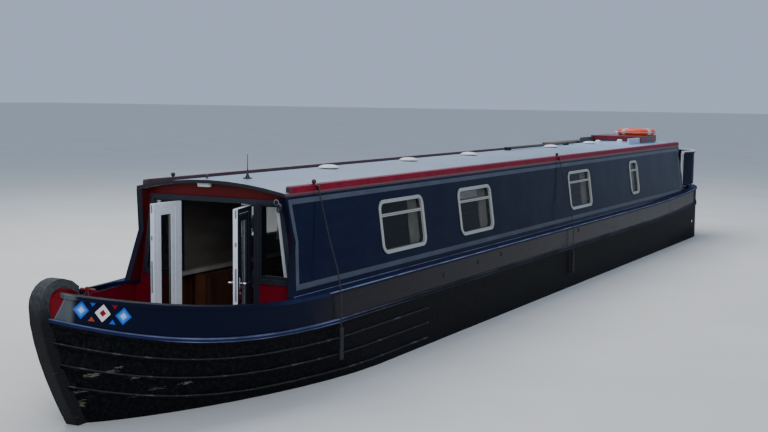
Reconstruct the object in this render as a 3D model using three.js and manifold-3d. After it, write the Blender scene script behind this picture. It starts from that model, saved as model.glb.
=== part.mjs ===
// Steel narrowboat: pointed bow, long tumblehome cabin, rounded counter stern.
// Millimetres. +X points forward, +Y to port, +Z up. The origin lies on the underside of the
// flat base plate, under the middle of the boat's length.
import * as THREE from 'three';
import * as BufferGeometryUtils from 'three/addons/utils/BufferGeometryUtils.js';
import Module from 'manifold-3d';

const wasm = await Module();
wasm.setup();

// Driving dimensions of the hull
const BEAM = 2083;
const RIM = BEAM / 2;             // outer edge of the side deck and of the rubbing strakes
const SIDE = 1026;                // outer face of the hull side
const DEPTH = 1280;               // underside of the base plate to the side deck amidships
const WALL = 55;                  // hull side with its frames and lining
const BASE_PLATE = 15;
const GAP = 0.3;                  // between pieces that touch
const CAP = 30;                   // thickness of the side deck and bulwark capping
const TOP_STRAKE = 30;            // half height of the top rubbing strake
const LOWER_STRAKE = 16;          // half height of the strakes below it

// Bow: the stem leans back below the knuckle, the entry is bluff above and fine below
const STEM_X = 8216;
const STEM_RAKE = 687;
const KNUCKLE = 1400;
const STEM_HALF = 40;
const BLUFF_ENTRY = 2400;
const FINE_ENTRY = 3300;
const BLUFF_ABOVE = 1050;
const ENTRY_CURVE = [1.7, 0.81];  // powers that round the entry's shoulder and its nose

// Stern: a half-round counter over a swim that narrows to the stern post
const COUNTER_X = -7105;
const COUNTER_LENGTH = 1050;
const COUNTER_HALF = 60;
const UXTER = 470;                // underside of the counter
const SWIM_X = -4255;
const SWIM_LENGTH = 3200;
const POST_HALF = 40;

// Cabin
const CABIN_FRONT = 6245;
const CABIN_REAR = -6755;
const CABIN_HALF = 915;           // outer half width at the side deck
const TUMBLEHOME = 0.137;         // inward lean of the cabin side, per unit of height
const PANEL = 60;                 // thickness of the cabin sides
const ROOF_EDGE = 2148;
const ROOF_CROWN = 2235;
const ROOF_PLATE = 30;
const ROOF_HALF = 798;
const ROOF_FRONT = 6198;
const SIDE_TOP = ROOF_EDGE - ROOF_PLATE - GAP;
const BULKHEAD_X = 6085;          // front face of the front bulkhead
const BULKHEAD = 50;
const REAR_BULKHEAD_X = -6540;    // rear face of the rear bulkhead

const PAINTS = {
  navy: [0x141a30, 0.3, 0.0],
  black: [0x0c0c10, 0.6, 0.0],
  blue: [0x23326e, 0.35, 0.0],
  red: [0x821420, 0.4, 0.0],
  burgundy: [0x5f1428, 0.35, 0.0],
  roof: [0xa0aabe, 0.5, 0.0],
  grey: [0x4e566a, 0.45, 0.0],
  white: [0xe6e6e6, 0.4, 0.0],
  rubber: [0x2d2d32, 0.85, 0.0],
  glass: [0x9fb4b4, 0.08, 0.0],
  aluminium: [0x96a09b, 0.4, 0.9],
  steel: [0xb8b8b8, 0.25, 1.0],
  brass: [0xb08a3c, 0.3, 1.0],
  wood: [0x6b4a2e, 0.6, 0.0],
  cloth: [0xd8d4c4, 0.9, 0.0],
  orange: [0xeb5032, 0.6, 0.0],
  iron: [0x3c3f42, 0.6, 0.6],
};

const boat = new THREE.Group();

// Shape helpers

function closedGeometry(positions, index) {
  const geometry = new THREE.BufferGeometry();
  geometry.setAttribute('position', new THREE.Float32BufferAttribute(positions, 3));
  geometry.setIndex(index);
  return geometry;
}

function solid(geometry) {
  const bare = geometry.clone();
  bare.deleteAttribute('normal');
  bare.deleteAttribute('uv');
  const merged = BufferGeometryUtils.mergeVertices(bare, 1e-3);
  return new wasm.Manifold(new wasm.Mesh({
    numProp: 3,
    vertProperties: new Float32Array(merged.attributes.position.array),
    triVerts: new Uint32Array(merged.index.array),
  }));
}

function join(shapes) {
  return shapes.reduce((whole, shape) => whole.add(shape));
}

// Drops the specks that are left where two curved faces almost meet.
function withoutSpecks(shape) {
  const solids = shape.decompose().filter((part) => part.volume() > 1);
  return solids.length ? join(solids) : shape;
}

function toGeometry(shape) {
  const mesh = withoutSpecks(shape).getMesh();
  return closedGeometry(Array.from(mesh.vertProperties), Array.from(mesh.triVerts));
}

function mirrored(shape) {
  return shape.mirror([0, 1, 0]);
}

function bothSides(shape) {
  return shape.add(mirrored(shape));
}

function block(x, y, z) {
  const geometry = new THREE.BoxGeometry(x[1] - x[0], y[1] - y[0], z[1] - z[0]);
  geometry.translate((x[0] + x[1]) / 2, (y[0] + y[1]) / 2, (z[0] + z[1]) / 2);
  return solid(geometry);
}

// A round bar or ring turned about an upright axis through (x, y); profile holds [radius, z].
function turned(profile, x, y, segments = 16) {
  const geometry = new THREE.LatheGeometry(profile.map(([r, z]) => new THREE.Vector2(r, z)), segments);
  geometry.rotateX(Math.PI / 2);
  geometry.translate(x, y, 0);
  return solid(outward(geometry));
}

function rod(start, end, radius, segments = 10) {
  const from = new THREE.Vector3(...start);
  const run = new THREE.Vector3(...end).sub(from);
  const geometry = new THREE.CylinderGeometry(radius, radius, run.length(), segments);
  geometry.translate(0, run.length() / 2, 0);
  const turn = new THREE.Quaternion().setFromUnitVectors(new THREE.Vector3(0, 1, 0), run.normalize());
  geometry.applyQuaternion(turn);
  geometry.translate(from.x, from.y, from.z);
  return solid(geometry);
}

function bentTube(points, radius, steps, sides = 8) {
  const path = new THREE.CatmullRomCurve3(points.map((p) => new THREE.Vector3(...p)));
  const round = new THREE.Shape();
  round.absarc(0, 0, radius, 0, 2 * Math.PI, false);
  return solid(new THREE.ExtrudeGeometry(round, { steps, curveSegments: sides, extrudePath: path }));
}

function signedVolume(geometry) {
  const p = geometry.attributes.position;
  const index = geometry.index;
  const [a, b, c] = [new THREE.Vector3(), new THREE.Vector3(), new THREE.Vector3()];
  let volume = 0;
  for (let i = 0; i < index.count; i += 3) {
    a.fromBufferAttribute(p, index.getX(i));
    b.fromBufferAttribute(p, index.getX(i + 1));
    c.fromBufferAttribute(p, index.getX(i + 2));
    volume += a.dot(b.cross(c));
  }
  return volume;
}

// Turns every triangle round where the surface came out facing inwards.
function outward(geometry) {
  if (signedVolume(geometry) > 0) {
    return geometry;
  }
  const index = Array.from(geometry.index.array);
  for (let i = 0; i < index.length; i += 3) {
    [index[i], index[i + 1]] = [index[i + 1], index[i]];
  }
  geometry.setIndex(index);
  return geometry;
}

// Skin over closed rings of [x, y, z] with like counts. Across a paired ring the end is closed
// in strips from port to starboard, otherwise by a fan.
function skin(rings, paired = false) {
  const n = rings[0].length;
  const index = [];
  for (let k = 0; k + 1 < rings.length; k++) {
    for (let i = 0; i < n; i++) {
      const a = k * n + i;
      const b = k * n + (i + 1) % n;
      index.push(a, b, b + n, a, b + n, a + n);
    }
  }
  const last = (rings.length - 1) * n;
  const end = (a, b, c) => {
    index.push(c, b, a, last + a, last + b, last + c);
  };
  if (paired) {
    for (let i = 0; i + 1 < n / 2; i++) {
      end(i, i + 1, n - 2 - i);
      end(i, n - 2 - i, n - 1 - i);
    }
  } else {
    for (let i = 1; i + 1 < n; i++) {
      end(0, i, i + 1);
    }
  }
  return solid(outward(closedGeometry(rings.flat(2), index)));
}

function roundedRectangle(path, [x0, x1], [y0, y1], radius) {
  path.moveTo(x0 + radius, y0);
  path.lineTo(x1 - radius, y0);
  path.absarc(x1 - radius, y0 + radius, radius, -Math.PI / 2, 0, false);
  path.lineTo(x1, y1 - radius);
  path.absarc(x1 - radius, y1 - radius, radius, 0, Math.PI / 2, false);
  path.lineTo(x0 + radius, y1);
  path.absarc(x0 + radius, y1 - radius, radius, Math.PI / 2, Math.PI, false);
  path.lineTo(x0, y0 + radius);
  path.absarc(x0 + radius, y0 + radius, radius, Math.PI, 1.5 * Math.PI, false);
  return path;
}

function rectangle([a0, a1], [b0, b1]) {
  return polygon([[a0, b0], [a1, b0], [a1, b1], [a0, b1]]);
}

function polygon(points) {
  return new THREE.Shape(points.map(([a, b]) => new THREE.Vector2(a, b)));
}

// Outline in Y and Z, given thickness from x towards the bow.
function crossPanel(shape, x, thickness) {
  const geometry = new THREE.ExtrudeGeometry(shape, { depth: thickness, bevelEnabled: false, curveSegments: 3 });
  geometry.rotateX(Math.PI / 2);
  geometry.rotateZ(Math.PI / 2);
  geometry.translate(x, 0, 0);
  return solid(geometry);
}

// Outline in X and Z, from y = out inwards by the thickness.
function longPanel(shape, out, thickness) {
  const geometry = new THREE.ExtrudeGeometry(shape, { depth: thickness, bevelEnabled: false, curveSegments: 3 });
  geometry.rotateX(Math.PI / 2);
  geometry.translate(0, out, 0);
  return solid(geometry);
}

// A port-side panel that leans in with the cabin side: depth 0 is the cabin side's outer face.
function leaningPanel(shape, depth, thickness) {
  const geometry = new THREE.ExtrudeGeometry(shape, { depth: thickness, bevelEnabled: false, curveSegments: 2 });
  geometry.rotateX(Math.PI / 2);
  const lean = new THREE.Matrix4().set(
    1, 0, 0, 0,
    0, 1, -TUMBLEHOME, CABIN_HALF - depth + TUMBLEHOME * DEPTH,
    0, 0, 1, 0,
    0, 0, 0, 1,
  );
  geometry.applyMatrix4(lean);
  return solid(geometry);
}

function piece(name, shape, paint, place = boat) {
  const [color, roughness, metalness] = PAINTS[paint];
  const material = new THREE.MeshStandardMaterial({ color, roughness, metalness });
  if (paint === 'glass') {
    material.transparent = true;
    material.opacity = 0.35;
  }
  const mesh = new THREE.Mesh(toGeometry(shape), material);
  mesh.name = name;
  place.add(mesh);
}

// Hull lines

const BOW_SHEER = 258;            // rise of the side deck line at the stem
const BOW_SHEER_LENGTH = 2005;
const STERN_SHEER = 100;
const STERN_SHEER_X = -4200;
const STERN_SHEER_LENGTH = 3300;
const STRAKE_DROP = 285;          // side deck to the top rubbing strake
const STRAKE_STEP = 152;          // between strakes
const STRAKE_RISE = 328;          // rise of the strakes at the stem

function bowPart(x) {
  return Math.max(0, (x - CABIN_FRONT) / BOW_SHEER_LENGTH);
}

function sternRise(x) {
  return STERN_SHEER * Math.max(0, (STERN_SHEER_X - x) / STERN_SHEER_LENGTH) ** 1.8;
}

function deckLine(x) {
  return DEPTH + BOW_SHEER * bowPart(x) ** 2.12 + sternRise(x);
}

function strakeLine(x, step = 0) {
  return DEPTH - STRAKE_DROP - STRAKE_STEP * step + STRAKE_RISE * bowPart(x) ** 2.47 + sternRise(x);
}

function stemAt(z) {
  return STEM_X - STEM_RAKE * (Math.max(0, KNUCKLE - z) / KNUCKLE) ** 1.52;
}

const STATIONS = [CABIN_REAR, -6100, -5200, STERN_SHEER_X, 0, 3900];
const BOW_STEPS = 12;
const STERN_STEPS = 8;

// Port half of the hull's outline at the height given for each x, from the stern to the stem.
// grow moves it outwards, and swim asks for the narrow underwater run.
function halfOutline(heightAt, grow = 0, swim = false) {
  const half = SIDE + grow;
  const points = [];
  const start = swim ? SWIM_X : COUNTER_X;
  const length = (swim ? SWIM_LENGTH : COUNTER_LENGTH) + grow;
  const end = Math.max(12, (swim ? POST_HALF : COUNTER_HALF) + (swim ? grow / 2 : 0));
  const bluntness = swim ? [1.6, 0.9] : [2, 0.5];
  for (let i = STERN_STEPS; i >= 0; i--) {
    const s = Math.sin((Math.PI / 2) * (i / STERN_STEPS));
    const x = start - length * s;
    points.push([x, end + (half - end) * (1 - s ** bluntness[0]) ** bluntness[1], heightAt(x)]);
  }
  for (const x of STATIONS) {
    if (x > start) {
      points.push([x, half, heightAt(x)]);
    }
  }
  for (let i = 0; i <= BOW_STEPS; i++) {
    const s = Math.sin((Math.PI / 2) * (i / BOW_STEPS));
    let x = STEM_X - BLUFF_ENTRY * (1 - s);
    for (let pass = 0; pass < 6; pass++) {
      const z = heightAt(x);
      const fineness = Math.min(1, Math.max(0, (BLUFF_ABOVE - z) / BLUFF_ABOVE));
      const entry = BLUFF_ENTRY + (FINE_ENTRY - BLUFF_ENTRY) * fineness;
      x = stemAt(z) + (grow < 0 ? 2 * grow : grow) - entry * (1 - s);
    }
    if (i === 0) {
      const shoulder = Math.min(CABIN_FRONT, x - 20);
      points.push([shoulder, half, heightAt(shoulder)]);
    }
    const blunt = Math.max(12, STEM_HALF + grow / 2);
    const y = blunt + (half - blunt) * (1 - s ** ENTRY_CURVE[0]) ** ENTRY_CURVE[1];
    points.push([x, y, heightAt(x)]);
  }
  return points;
}

function fullOutline(half) {
  return [...half, ...half.slice().reverse().map(([x, y, z]) => [x, -y, z])];
}

function hullBody(levels, grow, swim) {
  return skin(levels.map((heightAt) => fullOutline(halfOutline(heightAt, grow, swim))), true);
}

const flat = (z) => () => z;

// Head of the stem, its cheeks and the rubber band round it, as [x, z] outlines
const STEM_HEAD_HALF = 60;
const HEAD_FOOT = 1190;
const HEAD_FOOT_X = 8150;
const HEAD_ROUND = { x: 8094, z: 1430, radius: 120 };
const CHEEK_X = 8150;             // rear edge of the cheeks, where the capping begins
const BAND_HALF = 58;
const BAND = 88;
const BAND_FOOT = 430;
const BAND_TAIL_X = 7895;
const TOP_SHARE = 0.75;           // the band is thinner on top than in front

function headRound(out) {
  const { x, z, radius } = HEAD_ROUND;
  return [0, 1, 2, 3, 4, 5, 6].map((i) => {
    const a = (100 / 180) * Math.PI * (i / 6);
    return [x + (radius + out) * Math.cos(a), z + (radius + TOP_SHARE * out) * Math.sin(a)];
  });
}

function headTop(out) {
  return [...headRound(out), [BAND_TAIL_X + 75, 1521 + TOP_SHARE * out], [BAND_TAIL_X, 1470 + TOP_SHARE * out]];
}

// The front part of the round, down to the rear edge of the cheeks
function cheekTop(grow) {
  const { x, z, radius } = HEAD_ROUND;
  const rear = CHEEK_X - grow;
  const cosine = (rear - x) / (radius + grow);
  const rearTop = z + (radius + TOP_SHARE * grow) * Math.sqrt(1 - cosine ** 2);
  return [...headRound(grow).filter(([px]) => px > rear + 1), [rear, rearTop]];
}

function stemHeadLine(out) {
  const front = [];
  for (let z = BAND_FOOT; z < 1350; z += 145) {
    front.push([stemAt(z) + out, z]);
  }
  return [...front, ...headTop(out)];
}

// Hull shell: outer body less the hold, with rubbing strakes, stem head and rudder tube
const HOLD_FLOOR = 60;
const BOW_STRAKE_END = 3900;
const RUDDER_X = -7850;
const TUBE_BORE = 35;
const TUBE_WALL = 15;
const STERN_DECK = 1235;
const DECK_PLATE = 30;

const rimTop = (x) => deckLine(x) - CAP;

function strakeBody(step, grow) {
  const half = (step === 0 ? TOP_STRAKE : LOWER_STRAKE) + grow;
  const low = (x) => strakeLine(x, step) - half;
  const high = (x) => strakeLine(x, step) + half;
  return hullBody([low, high], RIM - SIDE + grow, false);
}

// The hull as a filled body, grown on all sides
function hullOutside(grow) {
  const lower = hullBody([BASE_PLATE + GAP - grow, 240, UXTER].map(flat), grow, true);
  const upper = hullBody([
    flat(UXTER),
    (x) => strakeLine(x, 2),
    (x) => strakeLine(x),
    (x) => rimTop(x) + grow,
  ], grow, false);
  const bowOnly = block([BOW_STRAKE_END, STEM_X + 100], [-RIM - 50, RIM + 50], [0, 1700]);
  return join([
    lower,
    upper,
    strakeBody(0, grow),
    ...[1, 2, 3].map((step) => strakeBody(step, grow).intersect(bowOnly)),
    stemHead(grow),
  ]);
}

// The space inside the hull side, clear of it by the given amount
function holdSpace(clear) {
  const low = hullBody([HOLD_FLOOR + clear, 300, UXTER + WALL + 30].map(flat), -WALL - clear, true);
  const high = hullBody([
    flat(UXTER + WALL + clear),
    (x) => strakeLine(x),
    (x) => rimTop(x) + 400,
  ], -WALL - clear, false);
  return low.add(high);
}

function hullShell() {
  const outer = hullOutside(0);
  const hold = holdSpace(0).subtract(stemHead(0));
  const tube = turned([[0, UXTER], [TUBE_BORE + TUBE_WALL, UXTER],
    [TUBE_BORE + TUBE_WALL, STERN_DECK - DECK_PLATE - GAP], [0, STERN_DECK - DECK_PLATE - GAP]], RUDDER_X, 0);
  const bore = turned([[0, UXTER - 20], [TUBE_BORE, UXTER - 20], [TUBE_BORE, 1500], [0, 1500]], RUDDER_X, 0);
  const shaftBore = rod([SHAFT_FRONT, 0, SHAFT_Z], [SWIM_X - SWIM_LENGTH - 60, 0, SHAFT_Z], BEARING_R,
    BEARING_SIDES);
  return outer.subtract(hold).add(tube).subtract(bore).subtract(shaftBore);
}

function stemHead(grow) {
  const foot = HEAD_FOOT - grow;
  const outline = [...headTop(grow), [BAND_TAIL_X - grow, foot], [HEAD_FOOT_X, foot]];
  const post = longPanel(polygon(outline), STEM_HEAD_HALF + grow, 2 * (STEM_HEAD_HALF + grow));
  const side = polygon([...cheekTop(grow), [CHEEK_X - grow, foot], [STEM_X + grow, foot]]);
  const cheeks = hullBody([flat(foot), flat(1620)], grow, false).intersect(longPanel(side, RIM, BEAM));
  return post.add(cheeks);
}

// Propeller shaft line
const SHAFT_Z = 245;
const SHAFT_R = 19;
const BEARING_SIDES = 24;
const BEARING_R = (SHAFT_R + GAP) / Math.cos(Math.PI / BEARING_SIDES);
const SHAFT_FRONT = -6855;
const PROP_X = -7595;

function propeller() {
  const shaft = rod([SHAFT_FRONT, 0, SHAFT_Z], [PROP_X - 50, 0, SHAFT_Z], SHAFT_R, 12);
  const hub = rod([PROP_X - 55, 0, SHAFT_Z], [PROP_X + 55, 0, SHAFT_Z], 42, 12);
  const blade = new THREE.CylinderGeometry(1, 1, 9, 14);
  blade.scale(72, 1, 88);
  blade.translate(0, 0, 105);
  const blades = [0, 1, 2].map((i) => {
    const copy = blade.clone();
    copy.rotateZ(0.9);
    copy.rotateX((i * 2 * Math.PI) / 3);
    copy.translate(PROP_X, 0, SHAFT_Z);
    return solid(copy);
  });
  return join([shaft, hub, ...blades]);
}

function basePlate() {
  const outline = halfOutline(flat(0), 18, true);
  const skegHalf = 45;
  const skegEnd = RUDDER_X - 80;
  const tail = [[skegEnd, skegHalf - 5, 0], [SWIM_X - SWIM_LENGTH - 30, skegHalf, 0]];
  const lift = (z) => fullOutline([...tail, ...outline].map(([x, y]) => [x, y, z]));
  return skin([lift(0), lift(BASE_PLATE)], true);
}

// Side decks, and the capping of the bulwark and of the counter
const CAP_BOW = 75;
const CAP_STERN = 135;
const DECK_INNER = CABIN_HALF - PANEL;

function sideDeck() {
  const outer = halfOutline(deckLine, RIM - SIDE);
  const inner = halfOutline(deckLine, -WALL).map(([u, v], i) => {
    const [x, y] = outer[i];
    if (x > CABIN_REAR - 50 && x < CABIN_FRONT + 50) {
      return [x, DECK_INNER];
    }
    const scale = (x > 0 ? CAP_BOW : CAP_STERN) / Math.hypot(x - u, y - v);
    return [x + (u - x) * scale, y + (v - y) * scale];
  });
  const sections = outer.map(([x, y, z], i) => {
    const [u, v] = inner[i];
    return [[x, y, z], [x, y, z - CAP + GAP], [u, v, z - CAP + GAP], [u, v, z]];
  });
  const first = sections[0].map(([x, , z]) => [x, GAP / 2, z]);
  const strip = skin([first, ...sections]);
  const headRoom = block([BAND_TAIL_X - 2, STEM_X + 200], [-200, STEM_HEAD_HALF + GAP], [1200, 1700]);
  const cheekRoom = block([CHEEK_X - GAP, STEM_X + 200], [-200, RIM], [1200, 1700]);
  return strip.subtract(headRoom).subtract(cheekRoom);
}

function stemBand(capStrip) {
  const outer = stemHeadLine(BAND);
  const inner = stemHeadLine(-30).reverse();
  const whole = longPanel(polygon([...outer, ...inner]), BAND_HALF, 2 * BAND_HALF);
  return whole.subtract(hullOutside(0.4)).subtract(capStrip).subtract(mirrored(capStrip));
}

// Foredeck with the front wall of the well, and its gas locker lid
const WELL_FRONT = 7150;
const WELL_DECK = 680;
const FOREDECK = 1290;
const LOCKER = { x: [7250, 7625], y: [-260, 260] };
const LID = { thickness: 20, lip: 25 };
const STUD_X = 7735;

function holdPlate(low, high, xRange) {
  return holdSpace(0.4).intersect(block(xRange, [-RIM, RIM], [low, high]));
}

function foredeck() {
  const plate = holdPlate(FOREDECK - DECK_PLATE, FOREDECK, [WELL_FRONT, STEM_X]);
  const wall = holdPlate(WELL_DECK - DECK_PLATE, FOREDECK - 5, [WELL_FRONT, WELL_FRONT + 30]);
  const hole = block(LOCKER.x, LOCKER.y, [FOREDECK - 60, FOREDECK + 10]);
  const head = block([BAND_TAIL_X - 5, STEM_X + 50], [-STEM_HEAD_HALF - 1, STEM_HEAD_HALF + 1], [HEAD_FOOT, 1700]);
  return plate.add(wall).subtract(hole).subtract(head);
}

function lockerLid() {
  const { thickness, lip } = LID;
  const top = FOREDECK + thickness;
  const lid = block([LOCKER.x[0] - lip, LOCKER.x[1] + lip], [LOCKER.y[0] - lip, LOCKER.y[1] + lip],
    [FOREDECK + GAP, top]);
  const grip = block([LOCKER.x[0] + 20, LOCKER.x[0] + 40], [-50, 50], [top - 2, top + 18]);
  return lid.add(grip);
}

function tStud() {
  const [foot, top] = [FOREDECK + GAP, 1505];
  const post = turned([[0, foot], [48, foot], [48, foot + 12], [22, foot + 20], [22, top], [0, top]], STUD_X, 0, 12);
  const bar = rod([STUD_X, -75, top - 27], [STUD_X, 75, top - 27], 15, 10);
  return post.add(bar);
}

// Cabin

const ROOF_LINE = [0, 200, 400, 580, 745, ROOF_HALF];

function roofTop(y) {
  return ROOF_EDGE + (ROOF_CROWN - ROOF_EDGE) * (1 - (Math.abs(y) / ROOF_HALF) ** 2);
}

function roofArc(drop, limit = ROOF_HALF) {
  const side = ROOF_LINE.filter((y) => y < limit).concat(limit);
  return [...side.slice(1).reverse().map((y) => [-y, roofTop(y) - drop]), ...side.map((y) => [y, roofTop(y) - drop])];
}

function sideAt(z, depth = 0) {
  return CABIN_HALF - depth - TUMBLEHOME * (z - DEPTH);
}

// Port windows by centre and width; all share the sill and head, but the last is a little higher.
const WINDOWS = [
  { x: 4135, width: 950, sill: 1460, head: 1980 },
  { x: 2345, width: 910, sill: 1460, head: 1980 },
  { x: -1230, width: 910, sill: 1460, head: 1980 },
  { x: -3835, width: 430, sill: 1480, head: 2000 },
];
const FLANGE = 22;                // window frame's flange beyond the hole in the cabin side
const FRAME_BAR = 14;             // frame's lip inside the hole
const CORNER = 95;

function windowPath(path, { x, width, sill, head }, inset) {
  return roundedRectangle(path, [x - width / 2 + inset, x + width / 2 - inset], [sill + inset, head - inset],
    CORNER - inset);
}

function cabinSide() {
  const foot = STATIONS.filter((x) => x <= 0).map((x) => [x, deckLine(x) + GAP]);
  const shape = polygon([
    ...foot,
    [CABIN_FRONT - 120, DEPTH + GAP],
    [CABIN_FRONT, DEPTH + GAP + 1],
    [CABIN_FRONT - 130, DEPTH + 460],
    [ROOF_FRONT, SIDE_TOP],
    [CABIN_REAR, SIDE_TOP],
  ]);
  for (const pane of WINDOWS) {
    shape.holes.push(windowPath(new THREE.Path(), pane, FLANGE));
  }
  return leaningPanel(shape, 0, PANEL);
}

const HOPPER = 0.29;              // share of the height above the hopper bar

// A bought-in window: flanged frame, hopper bar and its glass
function windowUnit(pane) {
  const flange = windowPath(new THREE.Shape(), pane, 0);
  flange.holes.push(windowPath(new THREE.Path(), pane, FLANGE + FRAME_BAR));
  const body = windowPath(new THREE.Shape(), pane, FLANGE + GAP);
  body.holes.push(windowPath(new THREE.Path(), pane, FLANGE + FRAME_BAR));
  const barZ = pane.head - HOPPER * (pane.head - pane.sill);
  const reach = pane.width / 2 - FLANGE - 5;
  const bar = rectangle([pane.x - reach, pane.x + reach], [barZ - 14, barZ + 14]);
  return join([
    leaningPanel(flange, -14, 14 - GAP),
    leaningPanel(body, -1, 31),
    leaningPanel(bar, -8, 26),
    leaningPanel(windowPath(new THREE.Shape(), pane, FLANGE + 5), 16, 6),
  ]);
}

// Curtains gathered at the after side of each window, hung from one track along the cabin
const TRACK = 2030;

function curtains() {
  const track = leaningPanel(rectangle([-4200, 4700], [TRACK, TRACK + 25]), PANEL + GAP, 30);
  const hung = WINDOWS.map(({ x, width, sill }) => {
    const left = x - width / 2 - 30;
    const wide = Math.min(240, width * 0.45);
    return leaningPanel(rectangle([left, left + wide], [sill - 40, TRACK + 5]), PANEL + GAP, 30);
  });
  return join([track, ...hung]);
}

// Sliding hatch over an opening in the roof
const HATCH = { x: [-6480, -5620], half: 330 };
const COAMING = 25;
const COAMING_TOP = 2292;
const RUNNER = { y: [400, 430], top: 2304.7, front: -4940 };
const HATCH_LID = { x: [-6535, -5570], half: 447, top: 2330 };
const HATCH_SKIRT = 12;

function roof() {
  const band = polygon([...roofArc(0), ...roofArc(ROOF_PLATE).reverse()]);
  const plate = crossPanel(band, CABIN_REAR, ROOF_FRONT - CABIN_REAR);
  const opening = block(HATCH.x, [-HATCH.half, HATCH.half], [2000, 2400]);
  const side = block([HATCH.x[0], HATCH.x[1] + COAMING], [HATCH.half, HATCH.half + COAMING], [2185, COAMING_TOP]);
  const front = block([HATCH.x[1], HATCH.x[1] + COAMING], [-HATCH.half - 1, HATCH.half + 1], [2185, COAMING_TOP]);
  const runner = block([HATCH_LID.x[0], RUNNER.front], RUNNER.y, [2195, RUNNER.top]);
  return join([plate, bothSides(side), front, bothSides(runner), ...VENTS.map(vent)]).subtract(opening);
}

function hatch() {
  const { x, half, top } = HATCH_LID;
  const underside = RUNNER.top + GAP;
  const plate = block(x, [-half, half], [underside, top]);
  const skirt = block(x, [half - HATCH_SKIRT, half], [roofTop(half) + 12, underside + 5]);
  const front = block([x[1] - HATCH_SKIRT, x[1]], [-RUNNER.y[0] + 6, RUNNER.y[0] - 6], [ROOF_CROWN + 7, underside + 5]);
  const rear = block([x[0], x[0] + HATCH_SKIRT], [-HATCH.half + 8, HATCH.half - 8], [ROOF_CROWN + 7, underside + 5]);
  return join([plate, bothSides(skirt), front, rear]);
}

function handrail() {
  const [inside, outside] = [745, ROOF_HALF];
  const section = polygon([[inside, roofTop(inside) + GAP], [outside, roofTop(outside) + GAP],
    [outside + 4, ROOF_EDGE + 8], [outside, 2200], [inside + 6, 2208], [inside, 2202]]);
  const rail = crossPanel(section, CABIN_REAR, 6110 - CABIN_REAR);
  const slope = new THREE.BoxGeometry(200, 200, 200);
  slope.rotateY(-0.7);
  slope.translate(6110 + 62, 770, 2148 + 128);
  return rail.subtract(solid(slope));
}

// Front bulkhead, its four-part frame, glass and doors
const DOOR = { half: 411, low: 730, high: 2035, rebate: 5, leaf: 45 };
const FRAME = { low: 1345, high: 2080, legHalf: 462, x: BULKHEAD_X - 42, thickness: 62 };
const LIGHT = { inner: 462, low: 1400, high: 2035 };

function frameHalf(z) {
  return 815 - TUMBLEHOME * (z - FRAME.low);
}

function frameOutline(grow) {
  const { low, high, legHalf } = FRAME;
  const foot = DOOR.low - 30;
  return polygon([
    [-legHalf - grow, foot - grow], [legHalf + grow, foot - grow], [legHalf + grow, low - grow],
    [frameHalf(low) + grow, low - grow], [frameHalf(high) + grow, high + grow],
    [-frameHalf(high) - grow, high + grow], [-frameHalf(low) - grow, low - grow], [-legHalf - grow, low - grow],
  ]);
}

function lightOutline(inset) {
  const edge = (z) => frameHalf(z) - 45 - inset;
  const [low, high, inner] = [LIGHT.low + inset, LIGHT.high - inset, LIGHT.inner + inset];
  return polygon([[inner, low], [edge(low), low], [edge(high), high], [inner, high]]);
}

function frontBulkhead() {
  const shoulder = DEPTH - CAP - 1;
  const arc = roofArc(ROOF_PLATE + GAP, 736);
  const foot = holdPlate(WELL_DECK + GAP, shoulder, [BULKHEAD_X - BULKHEAD, BULKHEAD_X]);
  const outline = polygon([
    [-DECK_INNER + 0.5, shoulder - 5], [DECK_INNER - 0.5, shoulder - 5],
    [DECK_INNER - 0.5, DEPTH], [sideAt(SIDE_TOP, PANEL) - 0.4, SIDE_TOP],
    ...arc.slice().reverse(),
    [-sideAt(SIDE_TOP, PANEL) + 0.4, SIDE_TOP], [-DECK_INNER + 0.5, DEPTH],
  ]);
  const hole = crossPanel(frameOutline(GAP), BULKHEAD_X - BULKHEAD - 20, BULKHEAD + 40);
  return crossPanel(outline, BULKHEAD_X - BULKHEAD, BULKHEAD).add(foot).subtract(hole);
}

function frontFrame() {
  const whole = crossPanel(frameOutline(0), FRAME.x, FRAME.thickness);
  const doorway = block([FRAME.x - 10, FRAME.x + 90], [-DOOR.half, DOOR.half], [DOOR.low, DOOR.high]);
  const light = crossPanel(lightOutline(0), FRAME.x - 10, FRAME.thickness + 20);
  const knuckles = fixedKnuckles(HINGE, LEAF_HINGES, 7, FRAME.x + FRAME.thickness - 2);
  return whole.subtract(doorway).subtract(bothSides(light)).add(bothSides(knuckles));
}

function sideLight() {
  return crossPanel(lightOutline(GAP), FRAME.x + 28, 6);
}

// A front door leaf as it stands closed, to port, measured from its hinge line.
const HINGE = { x: FRAME.x + FRAME.thickness + 8, y: DOOR.half - 1 };
const LEAF = { low: DOOR.low + DOOR.rebate, high: DOOR.high - DOOR.rebate, stile: 92, hingeStile: 140 };
const LEAF_HINGES = [LEAF.low + 160, 1382, LEAF.high - 160];
const KNUCKLE_HALF = 45;          // half height of the knuckle that turns with a door

// The fixed knuckles above and below a turning one, with their straps back to the jamb
function fixedKnuckles({ x, y }, heights, radius, jambX) {
  const strapX = [Math.min(x, jambX), Math.max(x, jambX)];
  return join(heights.flatMap((z) => [-1, 1].map((side) => {
    const ends = [z + side * (KNUCKLE_HALF + GAP), z + side * (KNUCKLE_HALF + 28)].sort((a, b) => a - b);
    return rod([x, y, ends[0]], [x, y, ends[1]], radius, 8).add(block(strapX, [y + 1, y + radius], ends));
  })));
}

function leafSpan() {
  const y = [2.5 - HINGE.y, DOOR.half - DOOR.rebate - HINGE.y];
  const x = [-8 - DOOR.leaf, -8];
  return { x, y };
}

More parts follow.
